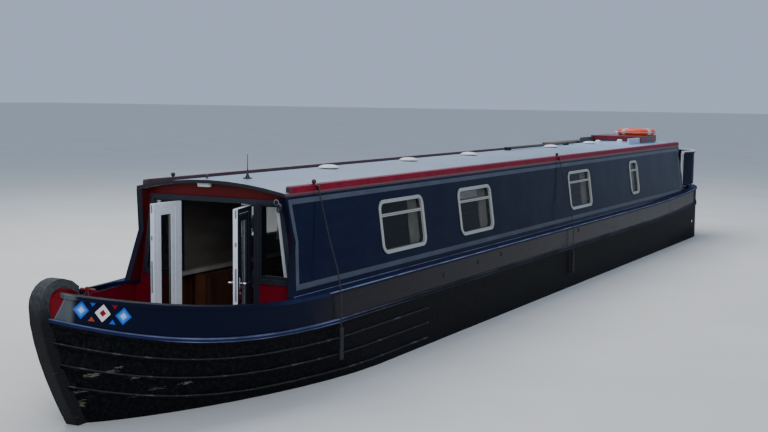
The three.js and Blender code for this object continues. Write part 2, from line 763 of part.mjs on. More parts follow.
function frontLeaf(withLevers) {
  const { x, y } = leafSpan();
  const leaf = block(x, y, [LEAF.low, LEAF.high]);
  const pane = block([x[0] - 5, x[1] + 5], [y[0] + LEAF.stile, y[1] - LEAF.hingeStile],
    [LEAF.low + LEAF.stile, LEAF.high - LEAF.stile]);
  const lever = (face, out) => {
    const from = face;
    const to = face + out * 58;
    const z = 1402;
    const spindle = rod([Math.min(from, to) + (out > 0 ? -4 : 0), y[0] + 45, z],
      [Math.max(from, to) + (out > 0 ? 0 : 4), y[0] + 45, z], 9, 8);
    const grip = rod([to, y[0] + 36, z], [to, y[0] + 150, z], 9, 8);
    return spindle.add(grip);
  };
  const hinges = LEAF_HINGES.map((z) => rod([0, 0, z - KNUCKLE_HALF], [0, 0, z + KNUCKLE_HALF], 7, 8)
    .add(block([-9, 1], [-6.5, -1], [z - 40, z + 40])));
  const levers = withLevers ? [lever(x[1], 1), lever(x[0], -1)] : [];
  return join([leaf.subtract(pane), ...levers, ...hinges]);
}

function frontPane() {
  const { x, y } = leafSpan();
  const middle = (x[0] + x[1]) / 2;
  const edge = LEAF.stile + GAP;
  return block([middle - 10, middle + 10], [y[0] + edge, y[1] - LEAF.hingeStile - GAP],
    [LEAF.low + edge, LEAF.high - edge]);
}

// Rear bulkhead and its pair of doors, closed at rest
const REAR_DOOR = { half: 335, low: STERN_DECK + 35, high: 2040, leaf: 40 };
const REAR_HINGE = { x: REAR_BULKHEAD_X - 26, y: REAR_DOOR.half - 1 };
const REAR_HINGES = [REAR_DOOR.low + 150, REAR_DOOR.high - 150];

function rearBulkhead() {
  const arc = roofArc(ROOF_PLATE + GAP, 736);
  const outline = polygon([
    [-DECK_INNER + 0.5, STERN_DECK + GAP], [DECK_INNER - 0.5, STERN_DECK + GAP],
    [DECK_INNER - 0.5, DEPTH], [sideAt(SIDE_TOP, PANEL) - 0.4, SIDE_TOP],
    ...arc.slice().reverse(),
    [-sideAt(SIDE_TOP, PANEL) + 0.4, SIDE_TOP], [-DECK_INNER + 0.5, DEPTH],
  ]);
  const doorway = block([REAR_BULKHEAD_X - 10, REAR_BULKHEAD_X + 60], [-REAR_DOOR.half, REAR_DOOR.half],
    [REAR_DOOR.low, REAR_DOOR.high]);
  const knuckles = fixedKnuckles(REAR_HINGE, REAR_HINGES, 6, REAR_BULKHEAD_X + 2);
  return crossPanel(outline, REAR_BULKHEAD_X, BULKHEAD).subtract(doorway).add(bothSides(knuckles));
}

function rearLeaf() {
  const { half, low, high, leaf } = REAR_DOOR;
  const x = [6, 6 + leaf];
  const y = [2.5 - REAR_HINGE.y, half - 5 - REAR_HINGE.y];
  const panel = block(x, y, [low + 5, high - 5]);
  const recess = block([x[0] - 5, x[0] + 8], [y[0] + 60, y[1] - 60], [low + 80, high - 80]);
  const hinges = REAR_HINGES.map((z) => rod([0, 0, z - KNUCKLE_HALF], [0, 0, z + KNUCKLE_HALF], 6, 8)
    .add(block([-1, 8], [-6, -1], [z - 40, z + 40])));
  return join([panel.subtract(recess), ...hinges]);
}

// Stern
const STERN_TIP = STEM_X + BAND;
const RAIL_INSET = 70;
const RAIL = { low: 1445, high: 2000, thickness: 25, cap: 48 };

function sternArc(inset, height) {
  const outline = halfOutline(height, RIM - SIDE - inset);
  const aft = outline.filter(([x]) => x <= COUNTER_X + 1);
  const lead = [[-6790, CABIN_HALF - 30 - (inset - RAIL_INSET), height(0)]];
  return [...aft, ...lead].map(([x, y]) => [x, y]);
}

function bentStrip(inset, thickness, [low, high]) {
  const outer = sternArc(inset, flat(high));
  const inner = sternArc(inset + thickness, flat(high));
  const port = outer.map(([x, y], i) => [[x, y, low], [x, y, high], [...inner[i], high], [...inner[i], low]]);
  const starboard = port.map((ring) => ring.map(([x, y, z]) => [x, -y, z]));
  return skin([...port.slice().reverse(), ...starboard]);
}

function sternRail() {
  const panel = bentStrip(RAIL_INSET, RAIL.thickness, [RAIL.low, RAIL.high + 5]);
  const top = bentStrip(RAIL_INSET - 12, RAIL.thickness + 26, [RAIL.high, RAIL.high + RAIL.cap]);
  const posts = [-6900, -7500, -7950].map((x) => {
    const arc = sternArc(RAIL_INSET + RAIL.thickness - 5, flat(RAIL.high));
    const near = arc.reduce((best, p) => (Math.abs(p[0] - x) < Math.abs(best[0] - x) ? p : best));
    return rod([near[0], near[1] - 12, deckLine(near[0]) - 5], [near[0], near[1] - 12, RAIL.high + 10], 16, 8);
  });
  return join([panel, top, bothSides(join(posts))]).subtract(bothSides(sideDeck().translate([0, 0, GAP])));
}

function sternDeck() {
  const deck = holdPlate(STERN_DECK - DECK_PLATE, STERN_DECK, [-8300, REAR_BULKHEAD_X + BULKHEAD]);
  const hole = turned([[0, 1150], [TUBE_BORE, 1150], [TUBE_BORE, 1300], [0, 1300]], RUDDER_X, 0);
  return join([deck, bothSides(dolly())]).subtract(hole);
}

function rudder() {
  const blade = longPanel(polygon([[RUDDER_X + 140, 70], [RUDDER_X + 140, 435], [RUDDER_X - 250, 435],
    [RUDDER_X - 290, 390], [RUDDER_X - 290, 70]]), 10, 20);
  const stock = rod([RUDDER_X, 0, BASE_PLATE + GAP], [RUDDER_X, 0, 1480], 25, 12);
  const neck = bentTube([[RUDDER_X, 0, 1470], [RUDDER_X, 0, 1600], [RUDDER_X - 25, 0, 1800],
    [RUDDER_X + 20, 0, 2000], [RUDDER_X + 130, 0, 2110], [RUDDER_X + 260, 0, 2140]], 20, 9, 4);
  const bar = rod([RUDDER_X + 250, 0, 2139], [RUDDER_X + 880, 0, 2175], 17, 10);
  const grip = rod([RUDDER_X + 860, 0, 2174], [RUDDER_X + 1010, 0, 2183], 23, 10);
  return join([blade, stock, neck, bar, grip]);
}

function dolly() {
  const foot = STERN_DECK - 5;
  return turned([[0, foot], [75, foot], [70, foot + 17], [42, foot + 35], [42, foot + 115], [72, foot + 145],
    [72, foot + 161], [0, foot + 173]], -7230, 780, 14);
}

function sternFender() {
  const ring = [];
  for (let i = 0; i < 10; i++) {
    const a = (i / 10) * 2 * Math.PI;
    ring.push([Math.cos(a), Math.sin(a)]);
  }
  const sections = [[-230, 62], [-180, 92], [0, 100], [180, 92], [230, 62]];
  const [x, z] = [-STERN_TIP + 100, 1100];
  const roll = skin(sections.map(([y, r]) => ring.map(([c, s]) => [x + r * c, y, z + r * s])));
  return roll.subtract(hullOutside(GAP));
}

// Roof furniture
const VENTS = [4145, 2345, 645, -2355, -4155];

function vent(x) {
  const foot = ROOF_CROWN - 8;
  return turned([[0, foot], [62, foot], [62, foot + 22], [105, foot + 26], [105, foot + 36], [70, foot + 58],
    [0, foot + 64]], x, 0, 16);
}

const BUOY = { x: -6250, y: 165, ring: 275, tube: 55 };

function lifebuoy() {
  const geometry = new THREE.TorusGeometry(BUOY.ring, BUOY.tube, 12, 24);
  geometry.translate(BUOY.x, BUOY.y, HATCH_LID.top + BUOY.tube + GAP);
  return solid(geometry);
}

const CHOCKS = [-1080, -3500];
const POLE = { y: [-190, -150], z: 2263, radius: 16, x: [-3900, -1000] };

// What lies below the roof's upper face, between two stations
function underRoof(x0, x1) {
  return crossPanel(polygon([...roofArc(-GAP), [ROOF_HALF, 2000], [-ROOF_HALF, 2000]]), x0, x1 - x0);
}

function chock(x) {
  return block([x - 22, x + 22], [POLE.y[0] - 26, POLE.y[1] + 26], [2200, POLE.z - 4]);
}

function poles() {
  const bars = POLE.y.map((y) => rod([POLE.x[0], y, POLE.z], [POLE.x[1], y, POLE.z], POLE.radius, 10));
  return join([...CHOCKS.map(chock), ...bars]).subtract(underRoof(POLE.x[0], POLE.x[1]));
}

function plank() {
  const [near, far] = [-520, -720];
  const lift = 12;
  const flatBoard = block([-6650, -3900], [far, near], [roofTop(near) + lift, roofTop(near) + lift + 32]);
  const bearers = [-6300, -4200].map((x) => block([x - 30, x + 30], [far, near], [2120, roofTop(near) + lift + 1]));
  return join([flatBoard, ...bearers]).subtract(underRoof(-6700, -3800));
}

function aerial() {
  const [x, y] = [5815, 150];
  const foot = roofTop(y) - 8;
  const base = turned([[0, foot], [45, foot], [45, foot + 14], [14, foot + 40], [5, foot + 60], [5, foot + 230], [0, foot + 230]],
    x, y, 10);
  return base.subtract(underRoof(x - 60, x + 60));
}

function headlight() {
  return block([BULKHEAD_X + GAP, BULKHEAD_X + 45], [-175, -45], [2164, 2199]);
}

function horn() {
  const x = FRAME.x + FRAME.thickness + GAP;
  const [y, z] = [692, 2070];
  return rod([x, y, z], [x + 50, y, z], 18, 10).add(rod([x + 40, y, z], [x + 70, y, z], 26, 10));
}

// Fenders on their lines, hung from the handrail outside the hull side
const FENDERS = [{ x: 5685, slant: 21 }, { x: -485, slant: 89 }];
const FENDER_TOP = 965;
const FENDER_R = 22;
const FENDER_LENGTH = 300;

function fender({ x, slant }) {
  const top = FENDER_TOP;
  const out = RIM + FENDER_R + 3;
  const foot = x + slant;
  const body = turned([[0, top - FENDER_LENGTH], [FENDER_R * 0.6, top - FENDER_LENGTH],
    [FENDER_R, top - FENDER_LENGTH + 20], [FENDER_R, top - 20], [FENDER_R * 0.6, top], [0, top]], foot, out, 10);
  const line = bentTube([[x, 812, 2172], [(x + foot) / 2, 935, 1730], [foot + 5, RIM + 14, 1330],
    [foot, out, top - 8]], 6, 12, 6);
  const hook = block([x - 14, x + 14], [ROOF_HALF + 4 + GAP, ROOF_HALF + 26], [2150, 2190]);
  return join([body, line, hook]);
}

// Inside
const CABIN_FLOOR = 250;

function cabinFloor() {
  const plate = holdPlate(CABIN_FLOOR, CABIN_FLOOR + 25, [-5890, BULKHEAD_X - BULKHEAD - 1]);
  const bearers = [-4800, -1500, 2000, 5400].map((at) => block([at - 40, at + 40], [-500, 500],
    [HOLD_FLOOR + GAP, CABIN_FLOOR + 1]));
  return join([plate, ...bearers]);
}

function wellDeck() {
  return holdPlate(WELL_DECK - DECK_PLATE, WELL_DECK, [BULKHEAD_X - BULKHEAD, WELL_FRONT - GAP]);
}

// Assembly

piece('hull_shell', hullShell(), 'black');
piece('base_plate', basePlate(), 'black');
const deckStrip = sideDeck();
piece('stem_band', stemBand(deckStrip), 'rubber');
piece('side_deck_port', deckStrip, 'blue');
piece('side_deck_starboard', mirrored(deckStrip), 'blue');
piece('foredeck', foredeck(), 'red');
piece('locker_lid', lockerLid(), 'red');
piece('t_stud', tStud(), 'red');
piece('well_deck', wellDeck(), 'grey');
piece('cabin_floor', cabinFloor(), 'wood');
piece('engine', block([-6850, -6050], [-250, 250], [HOLD_FLOOR + GAP, 800]), 'iron');
piece('propeller', propeller(), 'brass');

const side = cabinSide();
piece('cabin_side_port', side, 'navy');
piece('cabin_side_starboard', mirrored(side), 'navy');
WINDOWS.forEach((pane, i) => {
  const unit = windowUnit(pane);
  piece(`window_port_${i + 1}`, unit, 'aluminium');
  piece(`window_starboard_${i + 1}`, mirrored(unit), 'aluminium');
});
const drapes = curtains();
piece('curtains_port', drapes, 'cloth');
piece('curtains_starboard', mirrored(drapes), 'cloth');

piece('roof', roof(), 'roof');
const rail = handrail();
piece('handrail_port', rail, 'burgundy');
piece('handrail_starboard', mirrored(rail), 'burgundy');
piece('hatch', hatch(), 'burgundy');
piece('lifebuoy', lifebuoy(), 'orange');

piece('front_bulkhead', frontBulkhead(), 'red');
piece('front_frame', frontFrame(), 'grey');
piece('side_light_port', sideLight(), 'glass');
piece('side_light_starboard', mirrored(sideLight()), 'glass');
const DOORS = [
  { name: 'port', way: 1, openDegrees: 108, withLevers: true },
  { name: 'starboard', way: -1, openDegrees: 88, withLevers: false },
];
for (const { name, way, openDegrees, withLevers } of DOORS) {
  const place = new THREE.Group();
  place.position.set(HINGE.x, way * HINGE.y, 0);
  place.rotation.z = way * THREE.MathUtils.degToRad(openDegrees);
  boat.add(place);
  const turn = (shape) => (way > 0 ? shape : mirrored(shape));
  piece(`front_door_${name}`, turn(frontLeaf(withLevers)), 'white', place);
  piece(`front_pane_${name}`, turn(frontPane()), 'glass', place);

  const rear = new THREE.Group();
  rear.position.set(REAR_HINGE.x, way * REAR_HINGE.y, 0);
  boat.add(rear);
  piece(`rear_door_${name}`, turn(rearLeaf()), 'navy', rear);
}
piece('rear_bulkhead', rearBulkhead(), 'navy');

piece('stern_deck', sternDeck(), 'grey');
piece('stern_rail', sternRail(), 'navy');
piece('rudder', rudder(), 'black');
piece('stern_fender', sternFender(), 'rubber');

piece('boat_poles', poles(), 'wood');
piece('gang_plank', plank(), 'wood');
piece('aerial', aerial(), 'black');
piece('headlight', headlight(), 'white');
piece('horn', horn(), 'steel');
FENDERS.forEach((place, i) => {
  const hung = fender(place);
  piece(`fender_port_${i + 1}`, hung, 'rubber');
  piece(`fender_starboard_${i + 1}`, mirrored(hung), 'rubber');
});

export default boat;
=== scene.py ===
# Narrowboat: its finishes, fittings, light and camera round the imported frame.
# Metres. +X points to the bow, +Y to port, +Z up, and the boat floats at WATERLINE.
import math
from contextlib import contextmanager

import bmesh
import bpy
from mathutils import Matrix, Vector


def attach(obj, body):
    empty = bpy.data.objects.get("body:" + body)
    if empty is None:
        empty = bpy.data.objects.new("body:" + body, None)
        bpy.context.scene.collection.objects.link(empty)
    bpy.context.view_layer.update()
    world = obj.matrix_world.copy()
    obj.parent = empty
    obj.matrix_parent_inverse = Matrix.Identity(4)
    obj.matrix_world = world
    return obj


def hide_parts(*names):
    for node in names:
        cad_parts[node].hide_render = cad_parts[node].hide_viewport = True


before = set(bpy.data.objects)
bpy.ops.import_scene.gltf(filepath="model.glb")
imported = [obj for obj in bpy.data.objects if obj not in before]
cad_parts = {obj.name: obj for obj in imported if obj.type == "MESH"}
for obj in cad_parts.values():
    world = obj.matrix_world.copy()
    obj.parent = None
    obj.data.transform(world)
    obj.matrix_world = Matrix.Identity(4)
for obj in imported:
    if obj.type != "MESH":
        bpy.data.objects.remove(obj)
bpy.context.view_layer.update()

WATERLINE = 0.47
GUNWALE = 1.28                    # height of the side deck amidships
CABIN_HALF = 0.915                # half width of the cabin at the side deck
RIM = 1.0415                      # half width over the side decks
LEAN = 0.137                      # how far the cabin side leans in, for each metre of height
BOW_X = 6.245                     # where the deck starts to rise to the stem
BOW_LENGTH = 2.005
STERN_X = -4.2                    # where it starts to rise to the stern
STERN_LENGTH = 3.3
STRAKE = 0.995                    # height of the top rubbing strake amidships
BOW_RISE = 0.328                  # how far it rises to the stem
STERN_RISE = 0.10                 # how far it and the side deck rise to the stern
STRAKE_PITCH = 0.152              # distance of the lower strakes at the bow
MOULDING = 0.031                  # height of the blue moulding over the top strake
STEM_STONE = (8.070, 8.105)       # along the boat, where the paint of the bow turns to stone grey
BULKHEAD_X = 6.03                 # between the cabin and the front well
INNER_SKIN = 0.99                 # the hull's inner faces lie within this half width
COUNTER_X = -7.05                 # the hull is plain black aft of this
BOW_STRAKES_FROM = 3.9            # the lower strakes run forward from here
STERN_DECK = 1.2352               # height of the stern deck's fittings


# Materials

def srgb(red, green, blue):
    """A colour as a paint chart gives it, 0 to 255, for a colour socket."""
    def linear(value):
        value /= 255
        return value / 12.92 if value <= 0.04045 else ((value + 0.055) / 1.055) ** 2.4
    return (linear(red), linear(green), linear(blue), 1.0)


class Wire:
    """A node's output that takes part in Python sums by adding Math nodes."""

    def __init__(self, finish, socket):
        self.finish = finish
        self.socket = socket

    def math(self, operation, *values):
        return self.finish.node("ShaderNodeMath", {"operation": operation}, dict(enumerate(values)))

    def __abs__(self):
        return self.math("ABSOLUTE", self)

    def at_least(self, other):
        return self.math("MAXIMUM", self, other)

    def at_most(self, other):
        return self.math("MINIMUM", self, other)

    def fade(self, low, high):
        """0 below low, 1 above high, and smooth between."""
        return self.finish.node("ShaderNodeMapRange", {"interpolation_type": "SMOOTHSTEP"},
                                {0: self, 1: low, 2: high})

    def between(self, low, high):
        return (self > low) * (self < high)

    def fold(self, step):
        """Runs up from 0 to the step and down again, over and over."""
        return self.math("PINGPONG", self, step)


def operator(operation, turned=False):
    """A method that adds one Math node, its two values turned round where the wire comes second."""
    if turned:
        return lambda wire, other: wire.math(operation, other, wire)
    return lambda wire, other: wire.math(operation, wire, other)


for sign, operation in (("add", "ADD"), ("sub", "SUBTRACT"), ("mul", "MULTIPLY")):
    setattr(Wire, f"__{sign}__", operator(operation))
    setattr(Wire, f"__r{sign}__", operator(operation, True))
for sign, operation in (("pow", "POWER"), ("truediv", "DIVIDE"), ("gt", "GREATER_THAN"),
                        ("lt", "LESS_THAN")):
    setattr(Wire, f"__{sign}__", operator(operation))


class Finish:
    """A material made of nodes round one Principled shader."""

    def __init__(self, name):
        self.material = bpy.data.materials.new(name)
        self.material.use_nodes = True
        self.tree = self.material.node_tree
        self.shader = self.tree.nodes["Principled BSDF"]

    def node(self, kind, settings=None, sockets=None, output=0):
        """Any node: its settings are made first, then its sockets get their values or links."""
        made = self.tree.nodes.new(kind)
        for key, value in (settings or {}).items():
            if key == "stops":
                ramp = made.color_ramp.elements
                for place, _ in value[2:]:
                    ramp.new(place)
                for stop, (place, colour) in zip(ramp, value):
                    stop.position = place
                    stop.color = colour
            else:
                setattr(made, key, value)
        for key, value in (sockets or {}).items():
            self.plug(made.inputs[key], value)
        return Wire(self, made.outputs[output])

    def plug(self, socket, value):
        if isinstance(value, Wire):
            self.tree.links.new(value.socket, socket)
        else:
            socket.default_value = value

    def place(self, output=3):
        """The point on the boat, or for output 2 that of the UV map, as three values."""
        point = self.node("ShaderNodeTexCoord", output=output)
        split = self.node("ShaderNodeSeparateXYZ", {}, {0: point})
        return [Wire(self, socket) for socket in split.socket.node.outputs]

    def noise(self, scale, detail=3.0, stretch=(1.0, 1.0, 1.0), roughness=0.55):
        point = self.node("ShaderNodeTexCoord", output=3)
        moved = self.node("ShaderNodeMapping", {}, {0: point, 3: stretch})
        return self.node("ShaderNodeTexNoise", {}, {"Vector": moved, "Scale": scale, "Detail": detail,
                                                    "Roughness": roughness})

    def mottle(self, cloud, first, second):
        """Two tones that a noise lays out in soft clouds."""
        return self.mix(cloud.fade(0.3, 0.7), first, second)

    def mix(self, share, first, second):
        sockets = {0: share, 6: first, 7: second}
        return self.node("ShaderNodeMix", {"data_type": "RGBA"}, sockets, output=2)

    def done(self, colour, roughness, height=None, depth=0.0, specular=0.5, **others):
        """The material, its relief made from a height. Other sockets are named with _ for a space."""
        sockets = {"Base Color": colour, "Roughness": roughness, "Specular IOR Level": specular}
        sockets.update((name.replace("_", " "), value) for name, value in others.items())
        if height is not None:
            sockets["Normal"] = self.node("ShaderNodeBump", {}, {"Height": height, "Distance": depth})
        for name, value in sockets.items():
            self.plug(self.shader.inputs[name], value)
        return self.material


def plain(name, colour, roughness, metallic=0.0, grain=60.0, uneven=0.12, relief=0.0004, coat=0.0,
          specular=0.5):
    """A finish of one colour that is a little uneven in tone, gloss and surface."""
    finish = Finish(name)
    cloud = finish.noise(grain, 4.0)
    dark = tuple(c * (1 - uneven) for c in colour[:3]) + (1.0,)
    light = tuple(min(1.0, c * (1 + uneven)) for c in colour[:3]) + (1.0,)
    return finish.done(colour=finish.mottle(cloud, dark, light),
                       roughness=roughness * (0.85 + 0.3 * cloud), height=cloud, depth=relief,
                       specular=specular, Metallic=metallic, Coat_Weight=coat, Coat_Roughness=0.15)


NAVY = srgb(7, 12, 34)
SLATE = srgb(68, 73, 84)
BLACK = srgb(5, 5, 7)
DECK_BLUE = srgb(20, 28, 62)
MOULDING_BLUE = srgb(24, 32, 66)
PALE_LINE = srgb(104, 110, 138)
RED = srgb(134, 16, 28)
CRIMSON = srgb(98, 11, 22)
RUST_RED = srgb(150, 62, 44)
STONE = srgb(74, 80, 82)
SKY_BLUE = srgb(22, 88, 182)
PALE_BLUE = srgb(150, 190, 228)
CREAM = srgb(214, 204, 196)


BUOY = (-6.25, 0.165, 2.3853)     # middle of the lifebuoy
BUOY_TURN = 0.5
BUOY_RING, BUOY_THICK = 0.275, 0.055   # radius of the ring's middle line, and of its round body


def stern_rise(x):
    """Rise of the side deck and the strakes at a value x along the boat."""
    return STERN_RISE * ((STERN_X - x) / STERN_LENGTH).at_least(0.0) ** 1.8


def strake_height(x):
    """Height of the top rubbing strake's middle, for a value x along the boat."""
    return STRAKE + BOW_RISE * ((x - BOW_X) / BOW_LENGTH).at_least(0.0) ** 2.47 + stern_rise(x)


# Diamonds of the bow panel: the middle's x and z, height per breadth, colours of field and heart
DIAMONDS = [
    (8.043, 1.390, 1.48, SKY_BLUE, PALE_BLUE),
    (7.914, 1.354, 1.42, CREAM, RED),
    (7.782, 1.318, 1.27, SKY_BLUE, PALE_BLUE),
]
DIAMOND_HALF = 0.068
PANEL_SLOPE = 0.21                # rise of the bow panel towards the stem
# Small triangles between them: x and z of the middle, way up and colour
TRIANGLES = [
    (7.978, 1.428, -1, SKY_BLUE),
    (7.843, 1.396, -1, RED),
    (7.980, 1.318, 1, RUST_RED),
    (7.851, 1.282, 1, SKY_BLUE),
]
TRIANGLE_HALF = 0.018


def bow_ornament(finish, ground, x, z):
    """Traditional diamonds and triangles over the ground colour."""
    colour = ground
    for middle, height, run, field, heart in DIAMONDS:
        along = x - middle
        reach = abs(along * run) + abs(z - height - along * PANEL_SLOPE)
        colour = finish.mix(reach < DIAMOND_HALF, colour, field)
        ring_line = reach.between(DIAMOND_HALF * 0.54, DIAMOND_HALF * 0.68)
        colour = finish.mix(ring_line * 0.35, colour, PALE_BLUE)
        colour = finish.mix(reach < DIAMOND_HALF * 0.42, colour, heart)
    for middle, height, way, field in TRIANGLES:
        along = x - middle
        up = (z - height - along * PANEL_SLOPE) * way
        inside = (up > -TRIANGLE_HALF) * ((abs(along * 1.7) + up) < TRIANGLE_HALF)
        colour = finish.mix(inside, colour, field)
    return colour


# Scuffs of the port bow: the middle's x and z, half length, half height, colour
SCUFFS = [
    (7.912, 0.872, 0.055, 0.016, srgb(92, 92, 80)),
    (7.812, 0.890, 0.060, 0.011, srgb(70, 72, 70)),
    (7.742, 0.914, 0.035, 0.008, srgb(74, 76, 74)),
    (7.632, 0.818, 0.034, 0.014, srgb(92, 96, 94)),
    (7.957, 0.742, 0.034, 0.016, srgb(70, 82, 74)),
    (7.903, 0.640, 0.022, 0.042, srgb(84, 86, 68)),
    (7.220, 0.712, 0.060, 0.012, srgb(84, 86, 86)),
    (7.440, 0.700, 0.090, 0.012, srgb(56, 60, 54)),
    (7.570, 0.660, 0.060, 0.012, srgb(64, 66, 66)),
]


def hull_paint():
    """Black below the top strake and on the counter, navy above, with the bow's panels; the strakes' edges
    carry painted highlights, and the navy aft of the bow a painted brownish reflection.
    """
    finish = Finish("hull_paint")
    x, y, z = finish.place()
    over = z - strake_height(x)
    half = abs(y)
    broad = finish.noise(1.3, 2.0)
    fine = finish.noise(34.0, 5.0)
    streaks = finish.noise(1.0, 6.0, stretch=(1.6, 1.6, 42.0), roughness=0.7)
    rust = finish.noise(5.0, 5.0, stretch=(1.0, 1.0, 4.0)).fade(0.66, 0.74)
    black = finish.mix(fine.fade(0.4, 0.75), BLACK, srgb(20, 20, 23))
    black = finish.mix(streaks.fade(0.64, 0.72) * 0.5, black, srgb(74, 76, 74))
    black = finish.mix(rust * 0.4, black, srgb(64, 38, 30))
    tear = finish.noise(30.0, 6.0, stretch=(0.5, 0.5, 2.4), roughness=0.7)
    for middle, height, long, tall, tone in SCUFFS:
        reach = abs((x - middle) / long) ** 2.0 + abs((z - height) / tall) ** 2.0
        torn = reach * 0.5 + 4.5 * tear < 2.5
        black = finish.mix(torn * (y > 0), black, tone)
    edges = finish.noise(7.0, 5.0, stretch=(1.0, 1.0, 0.4))
    # Pale lines on the lower strakes' top edges: painted highlight, and wear where the chips noise is
    # high.
    strake_top_highlight = 0.0
    for step in (1, 2, 3):
        above = over + STRAKE_PITCH * step
        strake_top_highlight = above.between(0.006, 0.017) + strake_top_highlight
    strake_top_highlight = strake_top_highlight * (x > BOW_STRAKES_FROM)
    chips = edges.fade(0.56, 0.66)
    black = finish.mix(strake_top_highlight * (0.3 + 0.7 * chips), black, srgb(74, 76, 78))
    # Aft of the bow panel the navy is tinted brownish: a painted reflection of the pontoon.
    aft = 1 - x.fade(5.6, 6.2)
    navy = finish.mix(aft * 0.85, NAVY, srgb(28, 23, 27))
    panel = bow_ornament(finish, navy, x, z)
    forward = x > 7.9
    panel = finish.mix(x.fade(*STEM_STONE), panel, STONE)
    joint = 0.111 + 0.41 * (z - 1.417) - half
    panel = finish.mix(joint.between(-0.004, 0.004) * forward * 0.5, panel, PALE_LINE)
    panel = finish.mix((joint > 0.002) * forward, panel, CRIMSON)
    counter = x < COUNTER_X
    upper = (over > MOULDING) * (1 - counter)
    moulding = over.between(0.0, MOULDING) * (1 - counter)
    # Pale lines along the top strake's upper and lower edges: painted highlight with wear, patchy by this
    # noise.
    wear_and_sheen = finish.noise(3.0, 5.0, stretch=(0.5, 1.0, 1.0)).fade(0.35, 0.65)
    lower = over.between(-0.004, 0.003) * (1 - x.fade(7.3, 7.6))
    pale = (over.between(0.022, 0.033) + lower).at_most(1.0) * (1 - counter)
    colour = finish.mix(upper, black, panel)
    colour = finish.mix(moulding * x.fade(5.2, 6.0), colour, MOULDING_BLUE)
    colour = finish.mix(pale * (0.25 + 0.75 * wear_and_sheen) * (0.3 + 0.7 * x.fade(4.6, 6.0)), colour, PALE_LINE)
    return finish.done(colour=colour,
                       roughness=0.26 + 0.34 * (1 - upper) + 0.2 * streaks.fade(0.6, 0.7),
                       height=broad * 3.0 + fine * 0.35 + (1 - upper) * fine * 0.8,
                       depth=0.0014, specular=0.07)


def cabin_paint():
    """Navy with a slate line as a frame inside the edges of the cabin side, and a painted highlight along
    its foot.
    """
    finish = Finish("cabin_paint")
    x, _, z = finish.place()
    height = z - GUNWALE
    kink = 0.46
    front = (6.245 - 0.17 * height) * (height < kink) + (6.167 + 0.11 * (height - kink)) * (height > kink)
    ahead = front - x
    low, high = (0.053, 0.100), (0.774, 0.818)
    rows = height.between(*low) + height.between(*high)
    column = ahead.between(0.042, 0.090) + x.between(-6.64, -6.60)
    within = height.between(low[0], high[1]) * (ahead > 0.042) * (x > -6.64)
    line = (rows + column).at_most(1.0) * within
    broad = finish.noise(1.1, 2.0)
    fine = finish.noise(160.0, 2.0)
    dust = finish.noise(3.0, 5.0, stretch=(1.0, 1.0, 3.0))
    front_navy = finish.mix(x.fade(1.0, 5.5), NAVY, srgb(9, 15, 42))
    navy = finish.mix(dust.fade(0.35, 0.8) * 0.5, front_navy, srgb(20, 26, 48))
    slate = finish.mix(dust.fade(0.35, 0.8) * 0.5, SLATE, srgb(82, 92, 106))
    paint = finish.mix(line, navy, slate)
    # A pale line along the foot of the cabin side, patchy by the dust noise: painted highlight where the
    # side meets the deck.
    foot = (height < 0.009) * (0.4 + 0.6 * dust.fade(0.3, 0.6))
    return finish.done(colour=finish.mix(foot, paint, PALE_LINE),
                       roughness=0.12 + 0.12 * dust,
                       height=broad * 10.0 + fine * 0.1, depth=0.0012, specular=0.045)


def roof_paint():
    """Pale blue-grey, painted bluer aft as a painted sky reflection, with dirt along the edges, whose
    upright side is burgundy over navy.
    """
    finish = Finish("roof_paint")
    x, y, z = finish.place()
    dirt = finish.noise(2.2, 6.0, stretch=(0.6, 1.0, 1.0))
    fine = finish.noise(220.0, 2.0)
    # Towards the stern the roof is painted bluer: a painted reflection of the sky.
    aft = 1 - x.fade(-5.0, -1.5)
    clean_with_sky_reflection = finish.mix(aft, srgb(128, 146, 168), srgb(148, 180, 216))
    paint = finish.mix(dirt.fade(0.4, 0.75) * 0.6, clean_with_sky_reflection, srgb(112, 124, 136))
    edge = abs(y).fade(0.68, 0.76)
    paint = finish.mix(edge * 0.4, paint, srgb(104, 110, 112))
    green = x.fade(4.8, 6.2) * finish.noise(1.6, 3.0).fade(0.4, 0.6)
    paint = finish.mix(green * 0.25, paint, srgb(126, 146, 128))
    upright = (abs(y) > 0.7965) * (z < 2.1495)
    paint = finish.mix(upright, paint, NAVY)
    paint = finish.mix(upright * (z > 2.132), paint, srgb(112, 20, 40))
    return finish.done(colour=paint,
                       roughness=0.2 + 0.3 * dirt, height=fine + dirt * 3.0, depth=0.0006)


def deck_paint():
    """Dark blue side deck and capping, stone grey at the stem, the outer side's top edge pale with painted
    highlight and wear.
    """
    finish = Finish("deck_paint")
    x, y, z = finish.place()
    wear = finish.noise(9.0, 6.0, stretch=(0.5, 1.0, 1.0))
    fine = finish.noise(260.0, 2.0)
    paint = finish.mix(x.fade(6.3, 6.7), DECK_BLUE, NAVY)
    paint = finish.mix(wear.fade(0.55, 0.8) * (1 - x.fade(6.3, 6.7)) * 0.3, paint, srgb(46, 54, 84))
    side = (abs(y) > RIM - 0.003) * (x < 6.3)
    rise = z - stern_rise(x) - GUNWALE
    paint = finish.mix(side, paint, NAVY)
    # The outer side's top edge is paler: painted highlight where it catches the light, and wear.
    sheen_and_wear = side * (rise > -0.010) * (0.4 + 0.6 * wear.fade(0.35, 0.6))
    paint = finish.mix(sheen_and_wear, paint, srgb(118, 128, 158))
    paint = finish.mix(x.fade(*STEM_STONE), paint, STONE)
    return finish.done(colour=paint,
                       roughness=0.4 + 0.25 * wear, height=fine, depth=0.0006, specular=0.08)


